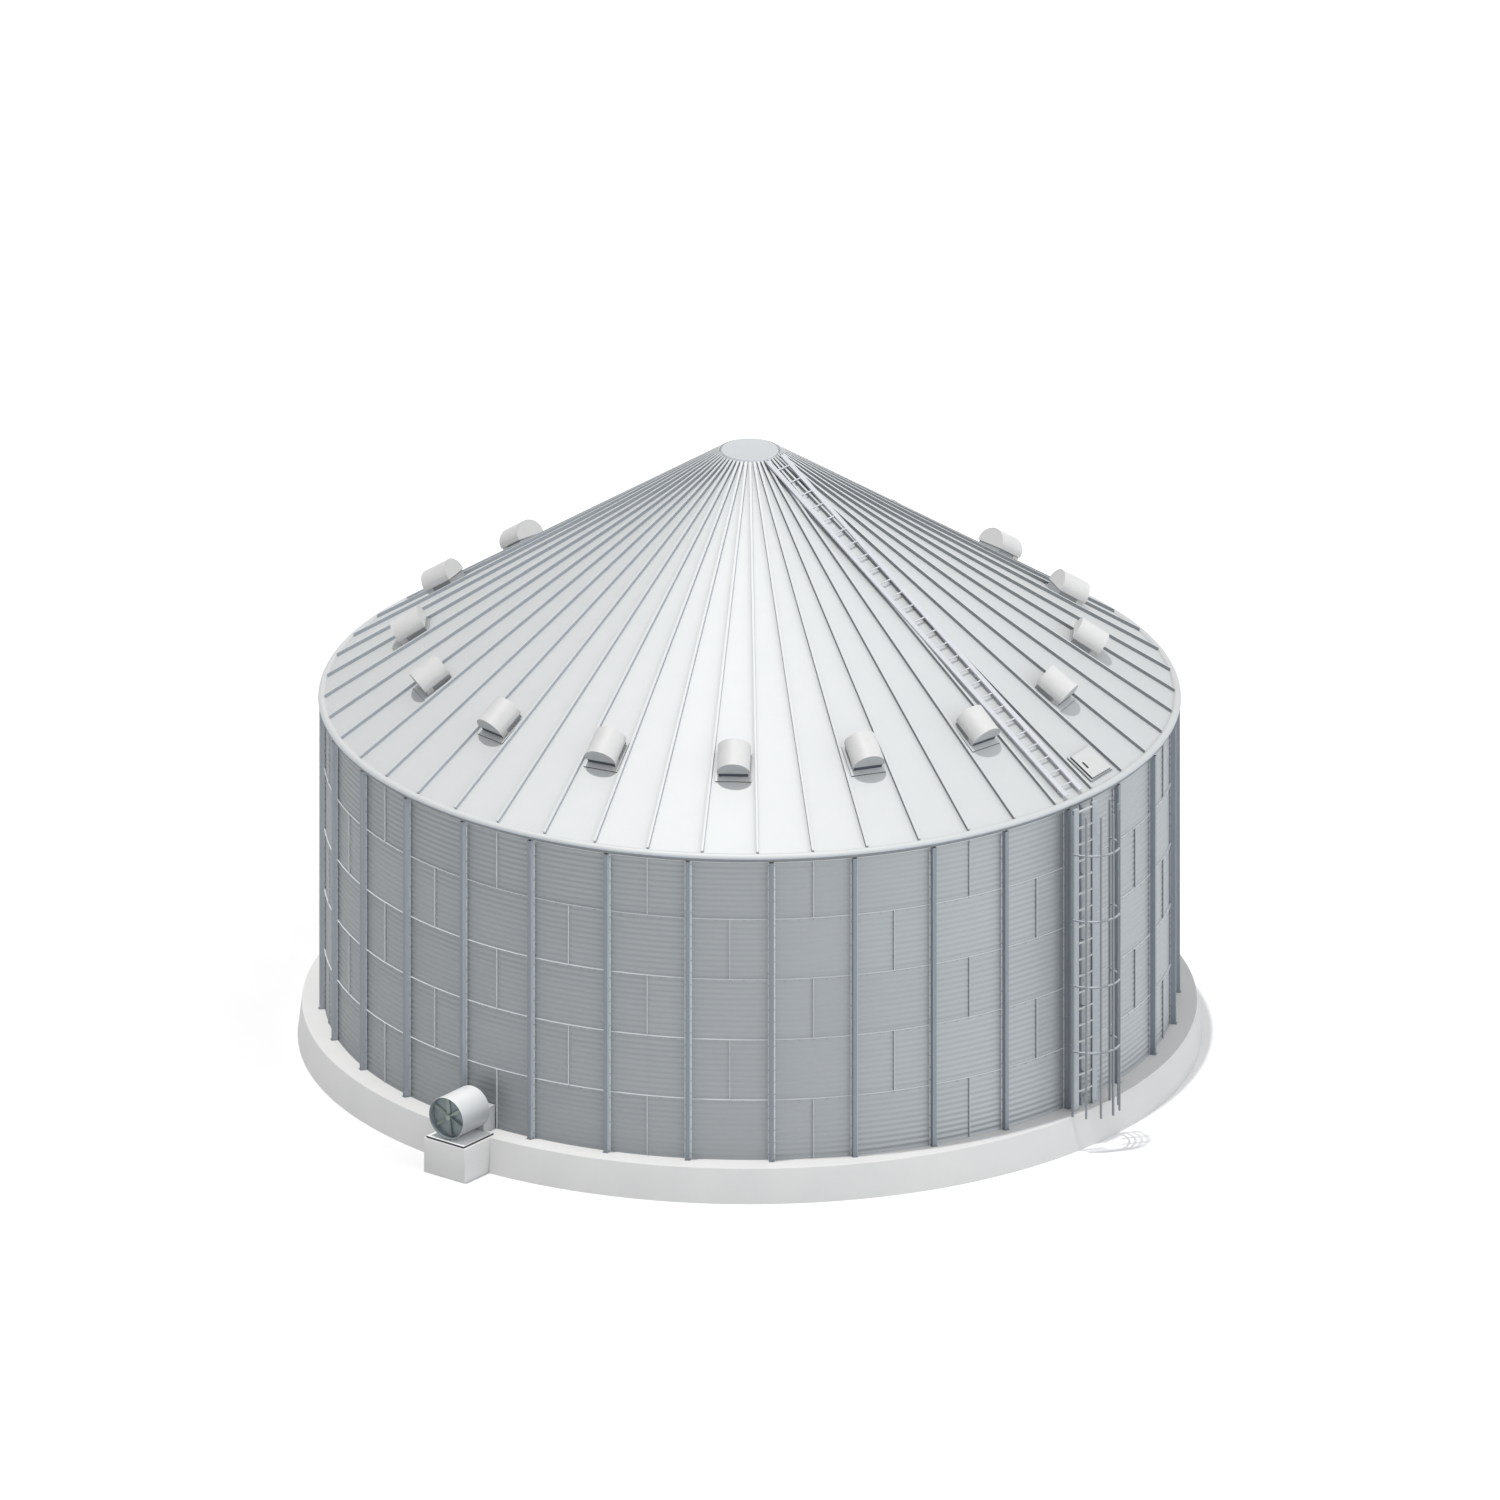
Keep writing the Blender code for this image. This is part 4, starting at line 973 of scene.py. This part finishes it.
# A lighter coat for the rails and the hoops' tops: painted light.
painted_light_rail_steel = mottled("painted_light_rail_zinc", (0.36, 0.39, 0.42), (0.40, 0.43, 0.46), (0.45, 0.55), 0.3, 16.0)
pieces = []
for side in (-1, 1):
    middle = side * RAIL_SPACING / 2
    rail = bar("rail", (RAIL_INNER, RAIL_OUTER), around(middle, RAIL_WIDTH / 2), (SEAT, LADDER_TOP), 0)
    # The rail is a channel, open towards the wall.
    edit(rail)
    pick_faces(rail, lambda middle, normal: normal.x < -0.9)
    bpy.ops.mesh.inset(thickness=0.004)
    bpy.ops.mesh.extrude_region_move(TRANSFORM_OT_translate={"value": (0.04, 0, 0)})
    leave_edit()
    coat(rail, painted_light_rail_steel)
    # The rail's -Y side gets the darker copy: painted shade.
    coat_faces(rail, painted_shade_steel, lambda middle, normal: normal.y < -0.5)
    pieces.append(rail)
reach = RAIL_SPACING / 2 - RAIL_WIDTH / 4
for number in range(RUNG_COUNT):
    height = FIRST_RUNG + number * RUNG_PITCH
    rung = bar("rung", around(RUNG_RADIUS, RUNG_HALF), around(0, reach), around(height, RUNG_HALF), 0.004)
    coat(rung, roof_coat)
    pieces.append(rung)
    if number % 4 == 1:
        tie = bar("tie", (TIE_INNER, RUNG_RADIUS), around(0, TIE_HALF), around(height, TIE_HALF), 0)
        coat(tie, fittings_steel)
        pieces.append(tie)
spine = bar("spine", (SPINE_INNER, SPINE_OUTER), around(0, SPINE_HALF), (SEAT, LADDER_TOP), 0.003)
coat(spine, fittings_steel)
pieces.append(spine)
wall_ladder = joined(pieces, "wall_ladder_frame")
wall_ladder.data.transform(outwards(LADDER_AZIMUTH))
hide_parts("wall_ladder")
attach(wall_ladder, "silo")


# The safety cage. Seven upright bars are welded inside four round half hoops. The feet of the
# two end bars stand on the slab's rim.

CAGE_CENTRE = 7.69
CAGE_RADIUS = 0.494
CAGE_BAR = 0.034
UPRIGHT_COUNT = 7
HOOP_COUNT = 4
HOOP_TUBE = 0.020
HOOP_PITCH = 1.219

cage_steel = mottled("dull_cage_bars", (0.20, 0.215, 0.235), (0.23, 0.245, 0.265), (0.55, 0.68), 0.0, 20.0)
pieces = []
width = around(0, CAGE_BAR / 2)
for number in range(UPRIGHT_COUNT):
    angle = math.pi * (number / (UPRIGHT_COUNT - 1) - 0.5)
    upright = bar("upright", width, width, (SEAT, LADDER_TOP), 0.003)
    place = (CAGE_CENTRE + CAGE_RADIUS * math.cos(angle), CAGE_RADIUS * math.sin(angle), 0)
    upright.data.transform(Matrix.Translation(place) @ Matrix.Rotation(angle, 4, "Z"))
    coat(upright, cage_steel)
    pieces.append(upright)
for number in range(1, HOOP_COUNT + 1):
    height = number * HOOP_PITCH
    deselect()
    bpy.ops.mesh.primitive_circle_add(
        vertices=12, radius=HOOP_TUBE, fill_type="NOTHING", location=(CAGE_CENTRE, -CAGE_RADIUS, height),
        rotation=(0, math.pi / 2, 0))
    hoop = named("hoop")
    edit(hoop)
    pick_all()
    bpy.ops.mesh.spin(steps=36, angle=-math.pi, center=(CAGE_CENTRE, 0, height), axis=(0, 0, 1))
    pick_open_edges()
    bpy.ops.mesh.edge_face_add()
    turn_outwards()
    smooth(hoop, 50)
    coat(hoop, cage_steel)
    # The hoop's top gets the lighter rail coat: painted light.
    coat_faces(hoop, painted_light_rail_steel, lambda middle, normal: normal.z > 0.4)
    pieces.append(hoop)
cage = joined(pieces, "safety_cage")
cage.data.transform(outwards(LADDER_AZIMUTH))
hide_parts("ladder_cage")
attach(cage, "silo")


# The roof hatch. A low frame is riveted to the sheets round the hole, and a shallow pan of
# sheet closes it, hinged on the side away from the ladder, with a slot for the hand.

FRAME_HALF_LENGTH = 0.292
FRAME_HALF_WIDTH = 0.34
FRAME_TOP = 0.035
HINGE_SIDE = 0.295
HINGE_HEIGHT = 0.050
PIN_RADIUS = 0.011
BARREL_LENGTH = 0.06
BARREL_PLACE = 0.12
LUG_LOW = 0.0175
LUG_HALF = 0.008
KNUCKLE_LENGTH = 0.10
LID_HALF_LENGTH = 0.2665
LID_LEFT = -0.303
LID_RIGHT = 0.279
LID_LOW = 0.0355
LID_HIGH = 0.0703
SLOT_HALF_LENGTH = 0.071
SLOT_LEFT = -0.210
SLOT_RIGHT = -0.162
SLOT_DEPTH = 0.014


def inset_ends(piece, rim):
    """Sets a rim round both ends of a drum. Leaves edit mode on."""
    edit(piece)
    pick_faces(piece, lambda middle, normal: abs(normal.x) > 0.9)
    bpy.ops.mesh.inset(thickness=rim)


base = bar("base", around(0, FRAME_HALF_LENGTH), around(0, FRAME_HALF_WIDTH), (SEAT, FRAME_TOP), 0.003)
cut(base, hole_cutter())
pieces = [base]
for side in (-1, 1):
    middle = side * BARREL_PLACE
    pieces.append(bar("lug", around(middle, BARREL_LENGTH / 2), around(HINGE_SIDE, LUG_HALF),
                      (LUG_LOW, HINGE_HEIGHT), 0))
    barrel = drum("barrel", 20, PIN_RADIUS, BARREL_LENGTH, (middle, HINGE_SIDE, HINGE_HEIGHT))
    inset_ends(barrel, 0.003)
    smooth(barrel, 40)
    pieces.append(barrel)
# The frame's sides get the darker copy: painted shade.
for piece in pieces:
    coat(piece, roof_coat)
    coat_faces(piece, painted_shade_steel, lambda middle, normal: normal.z < 0.5)
hatch_base = joined(pieces, "hatch_frame_box")
hatch_base.data.transform(down_slope(HATCH_AZIMUTH, HATCH_RADIUS))
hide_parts("hatch_frame")
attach(hatch_base, "silo")

cover = bar("cover", around(0, LID_HALF_LENGTH), (LID_LEFT, LID_RIGHT), (LID_LOW, LID_HIGH), 0.004)
cut(cover, bar("slot_cutter", around(0, SLOT_HALF_LENGTH), (SLOT_LEFT, SLOT_RIGHT),
               (LID_HIGH - SLOT_DEPTH, LID_HIGH + 0.05), 0))
strap = bar("strap", around(0, KNUCKLE_LENGTH / 2), (LID_RIGHT - 0.02, HINGE_SIDE),
            around(HINGE_HEIGHT, 0.005), 0)
knuckle = drum("knuckle", 20, PIN_RADIUS, KNUCKLE_LENGTH, (0, HINGE_SIDE, HINGE_HEIGHT))
inset_ends(knuckle, 0.003)
smooth(knuckle, 40)
lid_zinc = mottled("lid_zinc", (0.455, 0.462, 0.458), (0.475, 0.482, 0.478), (0.55, 0.65), 0.1)
# The lid's sides get the near-black coat: painted shade.
for piece in (cover, strap, knuckle):
    coat(piece, lid_zinc)
    coat_faces(piece, painted_shade_edge, lambda middle, normal: normal.z < 0.5)
# The bottom of the hand slot gets the painted shade as well.
for polygon in cover.data.polygons:
    if polygon.center.z < LID_HIGH - 0.010 and polygon.normal.z > 0.5:
        polygon.material_index = 1
hatch_lid = joined([cover, strap, knuckle], "hatch_lid_pan")
hatch_lid.data.transform(down_slope(HATCH_AZIMUTH, HATCH_RADIUS))
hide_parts("hatch_lid")
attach(hatch_lid, "lid")


# The aeration fan. A bright rolled housing stands on saddles on a steel plate over the pad. A
# motor on crossed struts turns six painted blades, and a square duct takes the air to the wall.

AXIS_HEIGHT = 0.45
HOUSING_RADIUS = 0.374
HOUSING_BACK = 7.628
HOUSING_FRONT = 8.354
HOUSING_TURNS = 64
HOUSING_SHEET = 0.008
HOUSING_MOUTH = 0.30
BACK_SHEET = 0.01
BEAD = 0.004
PLATE_INNER = 7.56
PLATE_OUTER = 8.385
PLATE_HALF_WIDTH = 0.41
PLATE_TOP = 0.036
SADDLE_RADII = (7.72, 8.26)
SADDLE_TOP = 0.082
MOTOR_MIDDLE = 8.07
MOTOR_RADIUS = 0.10
MOTOR_LENGTH = 0.26
STRUT_HALF_LENGTH = 0.369
GUARD_BACK = 8.222
GUARD_RADIUS = 0.360
GUARD_WIRE = 0.005
DUCT_INNER = 7.3153
DUCT_OUTER = HOUSING_BACK - 0.0003
DUCT_HALF_WIDTH = 0.25
DUCT_TOP = 0.44
DUCT_SHEET = 0.01
ROTOR_MIDDLE = 8.27
HUB_RADIUS = 0.055
HUB_LENGTH = 0.09
BLADE_COUNT = 6
BLADE_INNER = 0.045
BLADE_OUTER = 0.345
BLADE_HALF_WIDTH = 0.031
BLADE_PITCH = 38
BLADE_TWIST = -14
FIRST_BLADE = 6


def painted_light_zinc():
    """Rolled sheet, lighter towards its top and darker towards its underside: painted light and painted
    shade.
    """
    material, tree, shader = shader_of("painted_light_zinc")
    # Painted light and shade: the colour goes from dark at the bottom to light at the top.
    painted_light_by_height = ramp(tree, fade(tree, "Z", 1.02, 1.45), (0.36, 0.37, 0.38), (0.86, 0.865, 0.87), 0.0, 1.0)
    streaks = ramp(tree, noise(tree, 5.0, 2.0), (0.97, 0.97, 0.97), (1.0, 1.0, 1.0))
    tree.links.new(times(tree, painted_light_by_height, streaks), shader.inputs["Base Color"])
    tree.links.new(spread(tree, noise(tree, 12.0, 2.0), 0.42, 0.46), shader.inputs["Roughness"])
    shader.inputs["Metallic"].default_value = 0.3
    return material


zinc = painted_light_zinc()
# A very light coat for the plate's top, which lies in the housing's shadow: painted light.
painted_light_plate_zinc = mottled("painted_light_plate_zinc", (0.80, 0.81, 0.815), (0.85, 0.86, 0.865), (0.50, 0.62))
blade_paint = mottled("blade_paint", (0.22, 0.265, 0.24), (0.25, 0.295, 0.27), (0.30, 0.40), 0.2, 24.0)
primer = mottled("inside_primer", (0.19, 0.225, 0.24), (0.22, 0.255, 0.27), (0.60, 0.72), 0.0, 18.0)
guard_mesh = woven_screen("guard_mesh", (0.20, 0.24, 0.255), (0.33, 0.365, 0.38), FAN_AZIMUTH)

plate = bar("base_plate", (PLATE_INNER, PLATE_OUTER), around(0, PLATE_HALF_WIDTH),
            (SEAT, PLATE_TOP), 0.001, 1)
# The duct stands in a notch of the plate.
cut(plate, bar("notch", (PLATE_INNER - 0.1, DUCT_OUTER), around(0, DUCT_HALF_WIDTH + SEAT),
               around(0, 0.1), 0))
coat(plate, painted_light_plate_zinc)
# The plate's sides get the near-black coat: painted shade.
coat_faces(plate, painted_shade_edge, lambda middle, normal: normal.z < 0.9)
plate.data.transform(outwards(FAN_AZIMUTH))
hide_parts("fan_plate")
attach(plate, "silo")

bore_radius = HOUSING_RADIUS - HOUSING_SHEET
section = [
    (HOUSING_BACK, HOUSING_MOUTH), (HOUSING_BACK, HOUSING_RADIUS), (HOUSING_FRONT - 0.014, HOUSING_RADIUS),
    (HOUSING_FRONT - 0.010, HOUSING_RADIUS + BEAD), (HOUSING_FRONT - BEAD, HOUSING_RADIUS + BEAD),
    (HOUSING_FRONT, HOUSING_RADIUS), (HOUSING_FRONT, bore_radius), (HOUSING_BACK + BACK_SHEET, bore_radius),
    (HOUSING_BACK + BACK_SHEET, HOUSING_MOUTH), (HOUSING_BACK, HOUSING_MOUTH)]
shell = drawn("shell", [(x, 0.0, AXIS_HEIGHT + radius) for x, radius in section])
spun(shell, HOUSING_TURNS, (0, 0, AXIS_HEIGHT), (1, 0, 0))
smooth(shell, 40)
coat(shell, zinc)
# The housing's front face gets the darker copy: painted shade.
coat_faces(shell, painted_shade_steel, lambda middle, normal: normal.x > 0.8)
# Faces that look towards the axis are the housing's inside.
coat_faces(shell, primer, lambda middle, normal:
           middle.y * normal.y + (middle.z - AXIS_HEIGHT) * normal.z < -0.1)
pieces = []
for radius in SADDLE_RADII:
    pieces.append(bar("saddle", around(radius, 0.025), around(0, 0.06), (PLATE_TOP + SEAT, SADDLE_TOP),
                      0.002, 1))
motor = drum("motor", 32, MOTOR_RADIUS, MOTOR_LENGTH, (MOTOR_MIDDLE, 0, AXIS_HEIGHT))
inset_ends(motor, 0.02)
bpy.ops.mesh.bevel(offset=0.006, segments=2)
smooth(motor, 40)
pieces.append(motor)
axis = Matrix.Translation((0, 0, AXIS_HEIGHT))
for turn in (45, 135):
    strut = bar("strut", around(MOTOR_MIDDLE, 0.015), around(0, STRUT_HALF_LENGTH), around(0, 0.006),
                0.001, 1)
    strut.data.transform(axis @ Matrix.Rotation(math.radians(turn), 4, "X"))
    pieces.append(strut)
for piece in pieces:
    coat(piece, primer)
housing = joined([shell, *pieces], "fan_housing_shell")
housing.data.transform(outwards(FAN_AZIMUTH))
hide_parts("fan_housing")
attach(housing, "silo")

# A woven screen behind the blades keeps birds out: a shallow dish in a rolled wire rim.
mesh_dish = drum("mesh_dish", HOUSING_TURNS, GUARD_RADIUS + 0.002, 0.002, (GUARD_BACK, 0, AXIS_HEIGHT))
edit(mesh_dish)
pick_faces(mesh_dish, lambda middle, normal: normal.x > 0.9)
bpy.ops.mesh.inset(thickness=0.10)
bpy.ops.transform.translate(value=(0.006, 0, 0))
smooth(mesh_dish, 40)
coat(mesh_dish, guard_mesh)
deselect()
bpy.ops.mesh.primitive_torus_add(
    major_radius=GUARD_RADIUS, minor_radius=GUARD_WIRE, major_segments=HOUSING_TURNS, minor_segments=8,
    location=(GUARD_BACK, 0, AXIS_HEIGHT), rotation=(0, math.pi / 2, 0))
mesh_rim = named("mesh_rim")
coat(mesh_rim, primer)
guard = joined([mesh_dish, mesh_rim], "fan_guard")
guard.data.transform(outwards(FAN_AZIMUTH))
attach(guard, "silo")

duct = bar("duct", (DUCT_INNER, DUCT_OUTER), around(0, DUCT_HALF_WIDTH), (SEAT, DUCT_TOP), 0.003)
cut(duct, bar("bore", (DUCT_INNER - 0.1, HOUSING_BACK - 0.006), around(0, DUCT_HALF_WIDTH - DUCT_SHEET),
              (DUCT_SHEET, DUCT_TOP - DUCT_SHEET), 0))
# The duct's end is closed round the housing's mouth.
cut(duct, drum("mouth_cutter", HOUSING_TURNS, 0.285, 0.1, (HOUSING_BACK, 0, AXIS_HEIGHT)))
duct.name = "air_duct"
duct.data.transform(outwards(FAN_AZIMUTH))
coat(duct, roof_coat)
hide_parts("fan_duct")
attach(duct, "silo")

hub = drum("hub", 32, HUB_RADIUS, HUB_LENGTH, (ROTOR_MIDDLE, 0, AXIS_HEIGHT))
edit(hub)
pick_faces(hub, lambda middle, normal: normal.x > 0.9)
bpy.ops.mesh.bevel(offset=0.012, segments=3)
smooth(hub, 40)
blade = bar("blade", around(0, 0.003), around(0, BLADE_HALF_WIDTH), (BLADE_INNER, BLADE_OUTER), 0.002, 1)
edit(blade)
pick_all()
bpy.ops.mesh.subdivide(number_cuts=3)
leave_edit()
modify(blade, "SIMPLE_DEFORM", deform_method="TWIST", deform_axis="Z", angle=math.radians(BLADE_TWIST))
blade.data.transform(Matrix.Rotation(math.radians(BLADE_PITCH), 4, "Z"))
blades = []
for number in range(BLADE_COUNT):
    turn = Matrix.Rotation(math.radians(FIRST_BLADE + number * 360 / BLADE_COUNT), 4, "X")
    blades.append(twin(blade, Matrix.Translation((ROTOR_MIDDLE, 0, AXIS_HEIGHT)) @ turn, "blade"))
remove(blade)
rotor = joined([hub, *blades], "fan_blades")
rotor.data.transform(outwards(FAN_AZIMUTH))
coat(rotor, blade_paint)
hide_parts("fan_rotor")
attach(rotor, "rotor")


# The studio. A plain white floor, a crisp light almost overhead, a broad soft light from the
# right, and a pale sky that is brighter there. The camera has the photograph's parallel view.

CAMERA_AZIMUTH = 2.675
CAMERA_ELEVATION = 22.1
VIEW_WIDTH = 25.80
AIM_RIGHT = 0.0064
AIM_UP = 4.300
CAMERA_DISTANCE = 60
FLOOR_SIDE = 900


def sun(energy, width, colour, direction):
    """A light from far off in a direction, as wide in degrees as it seems from here."""
    bpy.ops.object.light_add(type="SUN")
    light = bpy.context.object
    light.data.energy = energy
    light.data.angle = math.radians(width)
    light.data.color = colour
    light.rotation_euler = Vector(direction).to_track_quat("Z", "Y").to_euler()


def blend(tree, factor, first, colour):
    """A colour that gives way to a plain one as the factor goes from 0 to 1."""
    node = tree.nodes.new("ShaderNodeMix")
    node.data_type = "RGBA"
    node.inputs["B"].default_value = (*colour, 1)
    tree.links.new(factor, node.inputs["Factor"])
    tree.links.new(first, node.inputs["A"])
    return node.outputs["Result"]


bpy.context.scene.view_settings.view_transform = "Standard"
turn = math.radians(CAMERA_AZIMUTH)
tilt = math.radians(CAMERA_ELEVATION)
back = Vector((math.sin(turn) * math.cos(tilt), -math.cos(turn) * math.cos(tilt), math.sin(tilt)))
right = Vector((math.cos(turn), math.sin(turn), 0))
up = back.cross(right)
aim = Vector((0, 0, SLAB_HEIGHT)) + right * AIM_RIGHT + up * AIM_UP
bpy.ops.object.camera_add(location=aim + back * CAMERA_DISTANCE)
camera = bpy.context.object
camera.rotation_euler = (-back).to_track_quat("-Z", "Y").to_euler()
camera.data.type = "ORTHO"
camera.data.ortho_scale = VIEW_WIDTH
camera.data.clip_end = 500
bpy.context.scene.camera = camera

deselect()
bpy.ops.mesh.primitive_plane_add(size=FLOOR_SIDE, location=(0, 0, -0.001))
floor = bpy.context.object
floor.name = "studio_floor"
paper, tree, shader = shader_of("studio_floor")
tree.links.new(ramp(tree, noise(tree, 0.4, 2.0), (0.74, 0.74, 0.74), (0.76, 0.76, 0.76)),
               shader.inputs["Base Color"])
shader.inputs["Roughness"].default_value = 1.0
coat(floor, paper)

sun(2.15, 1, (1.0, 0.99, 0.97), (-0.086, -0.03, 1))
sun(1.4, 80, (0.95, 0.98, 1.0), (1, -0.40, 0.15))

world = bpy.data.worlds.new("studio_sky")
bpy.context.scene.world = world
world.use_nodes = True
tree = world.node_tree
place = tree.nodes.new("ShaderNodeTexCoord")
axes = tree.nodes.new("ShaderNodeSeparateXYZ")
tree.links.new(place.outputs["Generated"], axes.inputs["Vector"])
across = tree.nodes.new("ShaderNodeMapRange")
across.inputs["From Min"].default_value = -1
tree.links.new(axes.outputs["X"], across.inputs["Value"])
horizon = ramp(tree, across.outputs["Result"], (0.25, 0.265, 0.28), (0.90, 0.92, 0.95), 0.0, 1.0)
sky = blend(tree, axes.outputs["Z"], horizon, (0.90, 0.91, 0.92))
# Under the horizon, where a low view looks past the floor's near edge, the studio is white.
below = tree.nodes.new("ShaderNodeMath")
below.operation = "LESS_THAN"
below.inputs[1].default_value = 0.0
tree.links.new(axes.outputs["Z"], below.inputs[0])
studio = blend(tree, below.outputs["Value"], sky, (1, 1, 1))
tree.links.new(studio, tree.nodes["Background"].inputs["Color"])

deselect()
